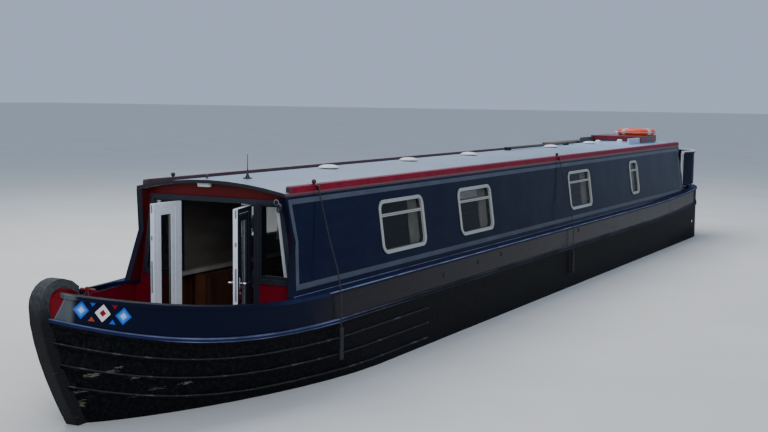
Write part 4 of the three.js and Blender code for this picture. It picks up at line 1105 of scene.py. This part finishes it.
def front_wall():
    """The bulkhead, and the frame with its side lights' beads, seals and liners."""
    redressed("front_bulkhead", BULKHEAD_PAINT, 0.002, merge=False)
    whole = dressed_copy("front_frame", FRAME_PAINT, 0.0035, 3, merge=False)
    coat_where(whole, DOOR_WHITE, lambda at, out: out.x < -0.7)
    parts = [whole]
    for _, place in SIDES:
        for name, low, high, width, ease, material in (
                ("bead", (6.0775, 0.4625, 1.4005), (6.0865, 0.7615, 2.0345), 0.013, 0.003, FRAME_PAINT),
                ("seal", (6.0772, 0.474, 1.412), (6.0792, 0.748, 2.023), 0.005, 0.0, SEAL),
                ("edge", (6.104, 0.446, 1.372), (6.1085, 0.7925, 2.057), 0.007, 0.0015, FRAME_PAINT),
                ("liner", (5.975, 0.4345, 1.3745), (6.0705, 0.789, 2.0605), 0.0275, 0.003, DOOR_WHITE)):
            part = coat(rim(name, low, high, width, axis=0, lean=LIGHT_SHIFT), material)
            if ease:
                soften(part, ease)
            if name == "liner":
                coat_where(part, DOOR_DARK, lambda at, out: abs(out.y) > 0.6 and at.y < 0.5)
            parts.append(moved(part, place))
        reveal = block("reveal", (6.0710, 0.708, 1.403), (6.0768, 0.760, 2.032), DOOR_WHITE, 0.002)
        leaning = Matrix(((1, 0, 0, 0), (0, 1, -LEAN, LEAN * 1.4005), (0, 0, 1, 0), (0, 0, 0, 1)))
        reveal.data.transform(leaning)
        parts.append(moved(reveal, place))
    parts.append(block("threshold", (6.052, -0.409, 0.7303), (6.104, 0.409, 0.7338), WINDOW_METAL, 0.001))
    stop = rim("stop", (6.0475, -0.4105, 0.733), (6.0555, 0.4105, 2.0345), 0.004, axis=0)
    parts.append(coat(stop, SEAL))
    settle(joined("front_frame_built", parts), stands_for=["front_frame"])
    for side, _ in SIDES:
        redressed(f"side_light_{side}", DOOR_PANE, 0.0)


LEAF_X, LEAF_Y, LEAF_Z = (-0.053, -0.008), (-0.4075, -0.004), (0.735, 2.030)
STILE = 0.092
HINGE_STILE = 0.140
HINGE_POINT = Vector((6.113, 0.41, 0))


def knuckle(z, radius, sides, ease, material):
    """A hinge's barrel on its line, its middle at height z."""
    barrel = bar("knuckle", (0, 0, z - 0.045), (0, 0, z + 0.045), radius, sides)
    return coat(soften(barrel, ease), material)


def lever(face, way, material):
    """A lever on its long plate, with the lock's barrel below."""
    y, z = LEAF_Y[0] + 0.045, 1.402
    near, far = sorted((face, face + way * 0.007))
    plate = soften(box("plate", (near, y - 0.014, 1.27), (far, y + 0.014, 1.45)), 0.003)
    rose = bar("rose", (face + way * 0.004, y, z), (face + way * 0.014, y, z), 0.0125, 24)
    bend = [(0.008, 0.0), (0.046, 0.0), (0.054, 0.012), (0.056, 0.040), (0.054, 0.105)]
    hand = tube("hand", [(face + way * out, y + along, z) for out, along in bend], 0.0085, 16)
    barrel = bar("barrel", (face + way * 0.004, y, 1.315), (face + way * 0.013, y, 1.315), 0.0105, 24)
    near, far = sorted((face + way * 0.012, face + way * 0.0135))
    slot = box("slot", (near, y - 0.001, 1.308), (far, y + 0.001, 1.322))
    return coat_all(material, plate, rose, hand, barrel) + coat_all(SEAL, slot)


HINGE_HEIGHTS = (0.895, 1.382, 1.870)
# Keeps and locks in the leaf's free edge: height of the middle and half length
KEEPS = ((0.93, 0.035), (1.10, 0.02), (1.39, 0.14), (1.73, 0.02), (1.985, 0.035))


def door_leaf(with_levers):
    """The port leaf as it stands closed, measured from its hinge line: white inside, dark outside."""
    (x0, x1), (y0, edge), (z0, z1) = LEAF_X, LEAF_Y, LEAF_Z
    y1 = edge - (HINGE_STILE - STILE)
    parts = []
    for name, near, far, material in (("post_core", x0 + 0.004, x1 - 0.004, DOOR_WHITE),
                                      ("post_inside", x0, x0 + 0.006, DOOR_WHITE),
                                      ("post_outside", x1 - 0.006, x1, DOOR_DARK)):
        post = box(name, (near, y1 - 0.0005, z0), (far, edge, z1))
        parts.append(coat(soften(post, 0.0022), material))

    def layer(name, near, far, inset, width, material, ease=0.002):
        shape = rim(name, (near, y0 + inset, z0 + inset), (far, y1 - inset, z1 - inset), width, axis=0)
        parts.append(coat(soften(shape, ease, 2), material))

    layer("core", x0 + 0.004, x1 - 0.004, 0.0, STILE, DOOR_WHITE)
    layer("inside_edge", x0, x0 + 0.006, 0.0, 0.044, DOOR_WHITE, 0.003)
    layer("inside_panel", x0 + 0.001, x0 + 0.006, 0.050, STILE - 0.050, DOOR_WHITE, 0.002)
    layer("outside_edge", x1 - 0.0055, x1, 0.0015, 0.040, DOOR_DARK, 0.002)
    layer("outside_panel", x1 - 0.0055, x1 - 0.0015, 0.046, STILE - 0.046, DOOR_DARK, 0.0015)
    layer("bead_in", x0 + 0.0015, x0 + 0.012, STILE - 0.001, 0.014, DOOR_WHITE, 0.003)
    layer("bead_out", x1 - 0.012, x1 - 0.0015, STILE - 0.001, 0.014, DOOR_DARK, 0.003)
    layer("gasket_in", x0 + 0.008, x0 + 0.0125, STILE + 0.012, 0.004, SEAL, 0.0005)
    layer("gasket_out", x1 - 0.0125, x1 - 0.008, STILE + 0.012, 0.004, SEAL, 0.0005)
    spacer = rim("spacer", (-0.0375, y0 + STILE + 0.004, z0 + STILE + 0.004),
                 (-0.0235, y1 - STILE - 0.004, z1 - STILE - 0.004), 0.010, axis=0)
    parts.append(coat(spacer, WINDOW_METAL))
    if with_levers:
        parts += lever(x0, -1, BRIGHT_STEEL) + lever(x1, 1, BRIGHT_STEEL)
    for z in HINGE_HEIGHTS:
        flag_low, flag_high = (-0.009, -0.0065, z - 0.04), (0.001, -0.001, z + 0.04)
        cover_low, cover_high = (-0.009, -0.034, z - 0.038), (-0.0045, -0.004, z + 0.038)
        parts += [knuckle(z, 0.0072, 20, 0.0015, DOOR_DARK),
                  block("flag", flag_low, flag_high, DOOR_DARK, 0.001),
                  block("cover", cover_low, cover_high, DOOR_DARK, 0.002)]
    for z, half in KEEPS:
        low, high = (-0.036, y0 - 0.0007, z - half), (-0.020, y0 + 0.001, z + half)
        parts.append(block("keep", low, high, KEEP_GREY))
    leaf = joined("door_leaf", parts)
    coat_where(leaf, DOOR_DARK, lambda at, out: out.y > 0.6 and at.y > edge - 0.004)
    return leaf


def door_glass():
    """The two panes of the port leaf, measured as the leaf is."""
    (y0, y1), (z0, z1) = LEAF_Y, LEAF_Z
    edge = STILE + 0.0004
    far = y1 - HINGE_STILE - 0.0004
    panes = [box("pane", (near, y0 + edge, z0 + edge), (near + 0.004, far, z1 - edge))
             for near in (-0.0405, -0.0245)]
    return joined("door_glass", coat_all(DOOR_PANE, *panes))


DOOR_ANGLES = (108, 88)           # how far the port and the starboard door stand open


def front_doors():
    """Both leaves as they stand in the photo; only the port one shows its levers."""
    glass = door_glass()
    for (side, place), degrees, with_levers in zip(SIDES, DOOR_ANGLES, (True, False)):
        leaf = door_leaf(with_levers)
        swing = place @ Matrix.Translation(HINGE_POINT) @ Matrix.Rotation(math.radians(degrees), 4, "Z")
        body = f"front_door_{side}"
        settle(copied(leaf, f"door_leaf_{side}", swing), body, [f"front_door_{side}"])
        settle(copied(glass, f"door_glass_{side}", swing), body, [f"front_pane_{side}"])
        discard(leaf)
    discard(glass)


LAMP_Y, LAMP_Z = -0.11, 2.1815    # middle of the lamp
LAMP_LIGHTS = 6
HORN_SEAT = (FRAME_FRONT + 0.0003, 0.692, 2.070)
LIGHT_PITCH = 0.0196


def front_fittings():
    """Lamp above the doors, and the horn."""
    parts = []
    for name, near, far, wide, tall, material, ease, segments in (
            ("shell", 0.0004, 0.040, 0.065, 0.0175, LAMP_WHITE, 0.006, 3),
            ("surround", 0.038, 0.0412, 0.059, 0.0125, VENT_WHITE, 0.001, 2)):
        low = (FRONT + near, LAMP_Y - wide, LAMP_Z - tall)
        high = (FRONT + far, LAMP_Y + wide, LAMP_Z + tall)
        parts.append(block(name, low, high, material, ease, segments))
    for i in range(LAMP_LIGHTS):
        y = LAMP_Y - (LAMP_LIGHTS - 1) * LIGHT_PITCH / 2 + i * LIGHT_PITCH
        lens = bar("lens", (FRONT + 0.040, y, LAMP_Z), (FRONT + 0.0444, y, LAMP_Z), 0.0078, tip=0.005)
        parts.append(coat(lens, LENS))
    settle(joined("front_lamp", parts), stands_for=["headlight"])
    x, y, z = HORN_SEAT
    body = bar("horn_body", (x, y, z), (x + 0.042, y, z), 0.018, 28)
    bell = bar("horn_bell", (x + 0.040, y, z), (x + 0.068, y, z), 0.016, 28, 0.026)
    mouth = bar("horn_mouth", (x + 0.0685, y, z), (x + 0.0695, y, z), 0.021, 28)
    foot = soften(box("horn_foot", (x, y - 0.012, z - 0.07), (x + 0.008, y + 0.012, z - 0.01)), 0.002)
    trumpet = ring("horn_ring", (x + 0.03, y, z - 0.066), 0.018, 0.006, (0, math.pi / 2, 0), 28, 10)
    arm = bar("horn_arm", (x + 0.002, y, z - 0.066), (x + 0.03, y, z - 0.066), 0.006, 14)
    parts = coat_all(BRIGHT_STEEL, body, bell, foot) + coat_all(EDGE_BLACK, mouth, trumpet, arm)
    settle(joined("horn_built", parts), stands_for=["horn"])


CUPBOARD_DOORS_AT = (3.24, 3.75, 4.26, 4.77)


def inside():
    """What the open doors and the windows show: a gunwale shelf and cupboards."""
    for side, place in SIDES:
        parts = []
        parts.append(block("shelf", (2.6, 0.79, 1.262), (6.02, 0.853, 1.2795), SHELF_WHITE, 0.003))
        parts.append(block("lip", (2.6, 0.788, 1.240), (6.02, 0.800, 1.2795), SHELF_WHITE, 0.003))
        parts.append(coat(box("carcass", (3.2, 0.72, 0.2755), (5.28, 0.85, 1.222)), CABINET_WOOD))
        for x in CUPBOARD_DOORS_AT:
            door = soften(box("cupboard_door", (x, 0.705, 0.32), (x + 0.47, 0.722, 1.19)), 0.004)
            with editing(door):
                pick_faces(door, lambda at, out: out.y < -0.95)
                bpy.ops.mesh.inset(thickness=0.055)
                bpy.ops.mesh.inset(thickness=0.008, depth=-0.006)
            parts.append(coat(door, CABINET_WOOD))
            pull = bar("pull", (x + 0.43, 0.690, 0.86), (x + 0.43, 0.690, 0.98), 0.005, 12)
            parts.append(coat(pull, BRIGHT_STEEL))
        settle(moved(joined(f"cupboards_{side}", parts), place))


# Roof and what lies on it

VENT_AT = (4.145, 2.345, 0.645, -2.355, -4.155)
ROOF_CROWN = 2.235
VENT_FOOT = ROOF_CROWN - 0.006
VENT_SQUASH = 0.68                # height of the caps as a share of the profile's
VENT_PROFILE = [
    (0.0, 0.0), (0.066, 0.0), (0.066, 0.006), (0.0635, 0.010), (0.0635, 0.018), (0.090, 0.0185),
    (0.104, 0.0195), (0.1085, 0.024), (0.1085, 0.030), (0.104, 0.037), (0.092, 0.048),
    (0.074, 0.0585), (0.05, 0.0655), (0.024, 0.0690), (0.0, 0.0700),
]


SMALL_VENTS_AT = ((-4.755, -0.05), (-5.42, 0.12))
SMALL_VENT_PROFILE = [(0, 0), (0.05, 0), (0.05, 0.012), (0.044, 0.034), (0.03, 0.045), (0, 0.049)]


def roof_top():
    """Roof plate, its front edge painted dark as painted shade and its runners' tops painted lit and
    shaded, pale below, without the vents that vents() makes.
    """
    plate = dressed_copy("roof", ROOF_PAINT, 0.002, merge=False)
    with editing(plate):
        pick_faces(plate, lambda at, out: at.z > ROOF_CROWN + 0.002 and any(
            math.hypot(at.x - x, at.y) < 0.12 for x in VENT_AT))
        bpy.ops.mesh.delete(type="FACE")
    # The front edge face is painted near black: painted shade under the roof's lip.
    coat_where(plate, EDGE_BLACK, lambda at, out: out.x > 0.8 and at.x > 6.1)
    coat_where(plate, CEILING, lambda at, out: out.z < -0.5 and at.x < 6.15)
    # The runners' tops: painted light on the port one, painted shade on the starboard one.
    for way, paint in ((1, RUNNER_PAINTED_LIGHT), (-1, RUNNER_PAINTED_SHADE)):
        coat_where(plate, paint, lambda at, out: (
            at.x < -4.9 and 0.39 < at.y * way < 0.44 and at.z > 2.215))
    settle(plate, stands_for=["roof"])


def vents():
    """Mushroom vents along the roof, and two small ones near the hatch."""
    cap = coat(dome("vent", (0, 0, 0), VENT_PROFILE, 40), VENT_WHITE)
    throat = coat(bar("throat", (0, 0, 0.010), (0, 0, 0.0195), 0.0655, 40), SEAL)
    screw = coat(bar("screw", (0, 0, 0.068), (0, 0, 0.0725), 0.008, 16), BRIGHT_STEEL)
    whole = joined("vent", [cap, throat, screw])
    whole.data.transform(Matrix.Diagonal((1.0, 1.0, VENT_SQUASH, 1.0)))
    for i, x in enumerate(VENT_AT):
        settle(copied(whole, f"roof_vent_{i + 1}", Matrix.Translation((x, 0, VENT_FOOT))))
    discard(whole)
    for i, (x, y) in enumerate(SMALL_VENTS_AT):
        small = dome(f"small_vent_{i + 1}", (x, y, VENT_FOOT), SMALL_VENT_PROFILE, 28)
        settle(coat(small, VENT_WHITE))


def hatch():
    """Sliding hatch: its slab, its foot painted dark as painted shade, and a grab handle."""
    slab = dressed_copy("hatch", HATCH_PAINT, 0.004, 3)
    # The slab's lower part is painted dark grey: painted shade of the gap under the lid.
    coat_where(slab, FRAME_PAINT, lambda at, out: at.z < 2.272)
    bend = [(-0.30, 2.331), (-0.30, 2.362), (-0.27, 2.372),
            (-0.16, 2.372), (-0.13, 2.362), (-0.13, 2.331)]
    handle = tube("hatch_handle", [(-6.50, y, z) for y, z in bend], 0.007)
    coat(handle, BRIGHT_STEEL)
    settle(joined("hatch_built", [slab, handle]), "hatch", ["hatch"])


def lifebuoy():
    """The lifebuoy with its four bands of tape and the grab line lashed round it."""
    x, y, z = BUOY
    body = coat(ring("buoy_body", BUOY, BUOY_RING, BUOY_THICK, steps=72, sides=28), BUOY_SKIN)
    parts = [body]
    for i in range(4):
        a = i * math.pi / 2 - BUOY_TURN
        place = Matrix.Translation((x, y, z)) @ Matrix.Rotation(a, 4, "Z")
        cuff = ring("cuff", (0, 0, 0), 0.0562, 0.0022, (math.pi / 2, 0, 0), 32, 6)
        for shift in (-0.034, 0.034):
            twin = copied(cuff, "cuff", place @ Matrix.Translation((BUOY_RING, shift, 0)))
            parts.append(coat(twin, BUOY_TAPE))
        discard(cuff)
    settle(joined("lifebuoy_built", parts), "hatch", ["lifebuoy"])
    points = []
    for i in range(4):
        a = i * math.pi / 2 - BUOY_TURN
        for share, slack in ((0.0, 0.0), (0.2, 0.006), (0.4, 0.012), (0.6, 0.012), (0.8, 0.006)):
            at = a + share * math.pi / 2
            reach = BUOY_RING + BUOY_THICK + 0.0045 - slack * 0.4
            points.append((x + reach * math.cos(at), y + reach * math.sin(at), z - slack * 0.7))
    line = rope("grab_line", points, 0.0045, ROPE_WHITE, closed=True)
    settle(line, "hatch")


POLES_Y, POLES_Z = (-0.19, -0.15), 2.263
CHOCKS_AT = (-1.08, -3.50)        # along the boat, under both poles
AERIAL_FOOT = (5.815, 0.15, 2.2323)
AERIAL_PROFILE = [(0, 0), (0.022, 0), (0.021, 0.016), (0.012, 0.034), (0.007, 0.05), (0.0055, 0.085),
                  (0.0038, 0.09), (0.0028, 0.218), (0, 0.221)]
ROOF_STUD_PROFILE = [(0, 0), (0.016, 0), (0.016, 0.004), (0.006, 0.008), (0.006, 0.018), (0.011, 0.022),
                     (0.011, 0.030), (0, 0.034)]


def roof_gear():
    """Poles on their rack, the plank with its treads, the aerial on its cross foot, and a stud."""
    parts = []
    z = POLES_Z
    for y in POLES_Y:
        parts.append(coat(bar("shaft", (-3.88, y, z), (-1.06, y, z), 0.0145), POLE_WOOD))
        parts.append(coat(bar("ferrule", (-1.07, y, z), (-1.00, y, z), 0.0158, tip=0.009), EDGE_BLACK))
        parts.append(coat(bar("butt", (-3.90, y, z), (-3.82, y, z), 0.0159), EDGE_BLACK))
    for x in CHOCKS_AT:
        for y in (-0.212, -0.128):
            low, high = (x - 0.016, y - 0.004, 2.24), (x + 0.016, y + 0.004, 2.2785)
            parts.append(block("cheek", low, high, EDGE_BLACK, 0.0015))
        low, high = (x - 0.022, -0.216, 2.212), (x + 0.022, -0.124, 2.2585)
        parts.append(block("bed", low, high, EDGE_BLACK, 0.003))
    settle(joined("poles_on_rack", parts), stands_for=["boat_poles"])
    board = dressed_copy("gang_plank", POLE_WOOD, 0.004, 3)
    coat_where(board, EDGE_BLACK, lambda at, out: at.z < 2.185)
    cleats = [block("tread", (x - 0.015, -0.712, 2.2225), (x + 0.015, -0.528, 2.2345), POLE_WOOD, 0.002)
              for x in [-6.5 + 0.25 * i for i in range(11)]]
    settle(joined("plank_built", [board] + cleats), stands_for=["gang_plank"])
    x, y, foot = AERIAL_FOOT
    parts = []
    for turn in (0, math.pi / 2):
        arm = box("arm", (-0.042, -0.009, foot), (0.042, 0.009, foot + 0.010))
        soften(arm, 0.003)
        arm.data.transform(Matrix.Translation((x, y, 0)) @ Matrix.Rotation(turn + 0.6, 4, "Z"))
        parts.append(arm)
    parts.append(dome("boss", (x, y, foot), AERIAL_PROFILE, 24))
    settle(joined("aerial_built", coat_all(BLACK_PLASTIC, *parts)), stands_for=["aerial"])
    stud = dome("roof_stud", (6.0, -0.16, 2.2325), ROOF_STUD_PROFILE, 20)
    settle(coat(stud, BLACK_PLASTIC))


# Stern

PANEL_FOOT = 1.4445               # its posts stand bare below this


def stern_rail():
    """Panel round the stern deck with its white cap, posts and pale leading edge."""
    panel = dressed_copy("stern_rail", STERN_PANEL, 0.005, 3)
    coat_where(panel, VENT_WHITE, lambda at, out: (
        out.x > 0.9 and at.x > -6.83 and 1.44 < at.z < 2.0))
    coat_where(panel, BRIGHT_STEEL, lambda at, out: at.z < PANEL_FOOT)
    settle(panel, stands_for=["stern_rail"])


REAR_HINGE = (-6.566, 0.334, 0)   # hinge line of the port leaf
REAR_HINGE_HEIGHTS = (1.425, 1.89)


def rear_doors():
    """Rear wall and its two leaves with a red field, brass hinges and a knob."""
    redressed("rear_bulkhead", NAVY_GLOSS, 0.002, merge=False)
    (x0, x1), (y0, y1), (z0, z1) = (0.006, 0.046), (-0.3315, -0.004), (1.275, 2.035)
    leaf = soften(box("rear_leaf", (x0, y0, z0), (x1, y1, z1)), 0.003)
    with editing(leaf):
        pick_faces(leaf, lambda at, out: abs(out.x) > 0.95)
        bpy.ops.mesh.inset(thickness=0.058)
        bpy.ops.mesh.inset(thickness=0.006, depth=-0.007)
        bpy.ops.mesh.inset(thickness=0.022)
        bpy.ops.mesh.inset(thickness=0.012, depth=0.005)
    coat(leaf, NAVY_GLOSS)
    coat_where(leaf, RAIL_PAINT, lambda at, out: (
        abs(out.x) > 0.95 and y0 + 0.09 < at.y < y1 - 0.09 and z0 + 0.09 < at.z < z1 - 0.09))
    parts = [leaf]
    for z in REAR_HINGE_HEIGHTS:
        low, high = (-0.001, -0.006, z - 0.04), (0.008, -0.001, z + 0.04)
        parts += [knuckle(z, 0.006, 18, 0.001, WARM_BRASS), block("strap", low, high, WARM_BRASS, 0.001)]
    knob = ball("door_knob", (-0.010, -0.296, 1.66), 0.013, 20)
    stem = bar("door_stem", (-0.010, -0.296, 1.66), (0.0065, -0.296, 1.66), 0.006, 14)
    parts += [coat(knob, WARM_BRASS), coat(stem, WARM_BRASS)]
    whole = joined("rear_leaf", parts)
    for side, place in SIDES:
        seat = place @ Matrix.Translation(REAR_HINGE)
        node = f"rear_door_{side}"
        settle(copied(whole, f"rear_leaf_{side}", seat), node, [node])
    discard(whole)


def steering():
    """Rudder with its bright swan neck, the tiller bar's turned grip, and the propeller."""
    blade = dressed_copy("rudder", EDGE_BLACK, 0.004)
    coat_where(blade, NAVY_GLOSS, lambda at, out: at.z > 1.26)
    coat_where(blade, BRIGHT_STEEL, lambda at, out: at.z > 2.11 and at.x > -7.62)
    grip = bar("tiller_grip", (-6.995, 0, 2.1736), (-6.842, 0, 2.1828), 0.0225, 28, 0.0255)
    collar = bar("tiller_collar", (-7.02, 0, 2.1722), (-6.990, 0, 2.1741), 0.0245, 28)
    pin = bar("tiller_pin", (-7.575, 0, 2.105), (-7.575, 0, 2.182), 0.006, 14)
    coat(soften(grip, 0.006, 3), TILLER_WOOD)
    parts = [blade, grip] + coat_all(WARM_BRASS, collar, pin)
    settle(joined("rudder_built", parts), "rudder", ["rudder"])
    redressed("propeller", BRONZE, 0.0015, "propeller")


FILLERS_AT = ((-7.62, 0.52), (-7.62, -0.52))
FILLER_PROFILE = [(0, 0), (0.042, 0), (0.042, 0.004), (0.036, 0.007), (0, 0.008)]


def stern_fittings():
    """Stern fender, deck hatches with lifting rings, filler caps, and the engine below."""
    redressed("stern_fender", RUBBER, 0.010, segments=3)
    for i, y in enumerate((-0.28, 0.28)):
        low, high = (-7.45, y - 0.25, STERN_DECK), (-6.70, y + 0.25, STERN_DECK + 0.005)
        plate = block("deck_hatch", low, high, CHEQUER_PLATE, 0.002)
        low, high = (-7.455, y - 0.255, STERN_DECK), (-6.695, y + 0.255, STERN_DECK + 0.006)
        trim = rim("hatch_trim", low, high, 0.008, axis=2)
        lift = ring("lift_ring", (-7.08, y, STERN_DECK + 0.0068), 0.026, 0.0035, steps=28, sides=8)
        parts = [plate, coat(trim, WINDOW_METAL), coat(lift, BRIGHT_STEEL)]
        settle(joined(f"deck_hatch_{i + 1}", parts))
    for i, (x, y) in enumerate(FILLERS_AT):
        cap = dome(f"filler_cap_{i + 1}", (x, y, STERN_DECK), FILLER_PROFILE)
        settle(coat(cap, WARM_BRASS))
    redressed("engine", ENGINE_PAINT, 0.012, segments=3)


# Fenders

FENDER_R = 0.022
FENDER_LONG = 0.300
FENDERS_AT = ((5.685, 0.021), (-0.485, 0.089))   # x of the line's hook, and how far the fender hangs ahead


def fenders():
    """Slim fenders with ribbed bodies, on taut lines that hook over the roof rail."""
    for number, (x, slant) in enumerate(FENDERS_AT):
        foot, out, top = x + slant, RIM + FENDER_R + 0.003, 0.965
        profile = [(0, 0), (0.010, 0), (0.0165, 0.004), (FENDER_R, 0.018), (FENDER_R, 0.040)]
        for i in range(9):
            z = 0.050 + i * 0.0235
            groove = FENDER_R - 0.002
            profile += [(FENDER_R, z), (groove, z + 0.004), (groove, z + 0.008), (FENDER_R, z + 0.012)]
        profile += [(FENDER_R, 0.276), (0.0165, 0.290), (0.009, 0.297), (0.009, FENDER_LONG),
                    (0, FENDER_LONG)]
        body = coat(dome("fender", (foot, out, top - FENDER_LONG), profile, 24), RUBBER)
        hook = block("hook", (x - 0.014, 0.8024, 2.150), (x + 0.014, 0.824, 2.190), BLACK_PLASTIC, 0.003)
        route = [(x, 0.812, 2.172), ((x + foot) / 2, 0.935, 1.730), (foot + 0.005, RIM + 0.014, 1.330),
                 (foot, out, top - 0.008)]
        line = rope("fender_line", route, 0.0055, ROPE_BLACK)
        whole = joined("fender", [body, hook, line])
        for side, place in SIDES:
            name = f"fender_{side}_{number + 1}"
            settle(copied(whole, name + "_built", place), stands_for=[name])
        discard(whole)


for make in (hull, outlets, foredeck_fittings, cabin, windows, curtains, front_wall, front_doors,
             front_fittings, inside, roof_top, vents, hatch, lifebuoy, roof_gear, stern_rail,
             rear_doors, steering, stern_fittings, fenders):
    make()


# Stage, light and camera

def stage():
    """The pale floor at the waterline."""
    bpy.ops.mesh.primitive_plane_add(size=400, location=(0, 0, WATERLINE))
    floor = added("floor")
    coat(floor, plain("floor_pale", srgb(216, 214, 208), 0.8, grain=0.6, uneven=0.03, relief=0.0))


def soft_light(name, place, target, size, power, colour):
    """A soft box that shines from its place at a target."""
    light = bpy.data.lights.new(name, "AREA")
    light.shape = "RECTANGLE"
    light.size, light.size_y = size
    light.energy = power
    light.color = colour
    lamp = linked(name, light)
    lamp.location = place
    lamp.rotation_mode = "QUATERNION"
    lamp.rotation_quaternion = (Vector(target) - Vector(place)).to_track_quat("-Z", "Y")


def lights():
    """A pale sky, a warm light over the boat and a cool one at the bow."""
    world = bpy.data.worlds.new("soft_sky")
    world.use_nodes = True
    sky = world.node_tree.nodes["Background"].inputs
    sky["Color"].default_value = srgb(186, 204, 232)
    sky["Strength"].default_value = 0.8
    bpy.context.scene.world = world
    soft_light("overhead", (-2, -6, 14), (0, 0, 1), (22, 10), 2400, (1.0, 0.98, 0.95))
    soft_light("bow_fill", (20, 12, 8), (4, 0, 1), (10, 8), 1800, (0.95, 0.97, 1.0))


def camera():
    """The photograph's camera: where it stood, how it was turned, and its focal length."""
    place = Vector((14.6513, 6.2580, 2.9848))
    yaw, pitch, roll = 0.4906, 0.1006, 0.0103
    level_run = math.cos(pitch)
    ahead = Vector((-math.cos(yaw) * level_run, -math.sin(yaw) * level_run, -math.sin(pitch)))
    level = ahead.cross(Vector((0, 0, 1))).normalized()
    upright = level.cross(ahead)
    right = math.cos(roll) * level + math.sin(roll) * upright
    up = math.cos(roll) * upright - math.sin(roll) * level
    data = bpy.data.cameras.new("photo_camera")
    data.sensor_width = 36.0
    data.lens = 56.01
    data.clip_end = 500
    seat = linked("photo_camera", data)
    seat.matrix_world = Matrix.Translation(place) @ Matrix((right, up, -ahead)).transposed().to_4x4()
    bpy.context.scene.camera = seat


stage()
lights()
camera()
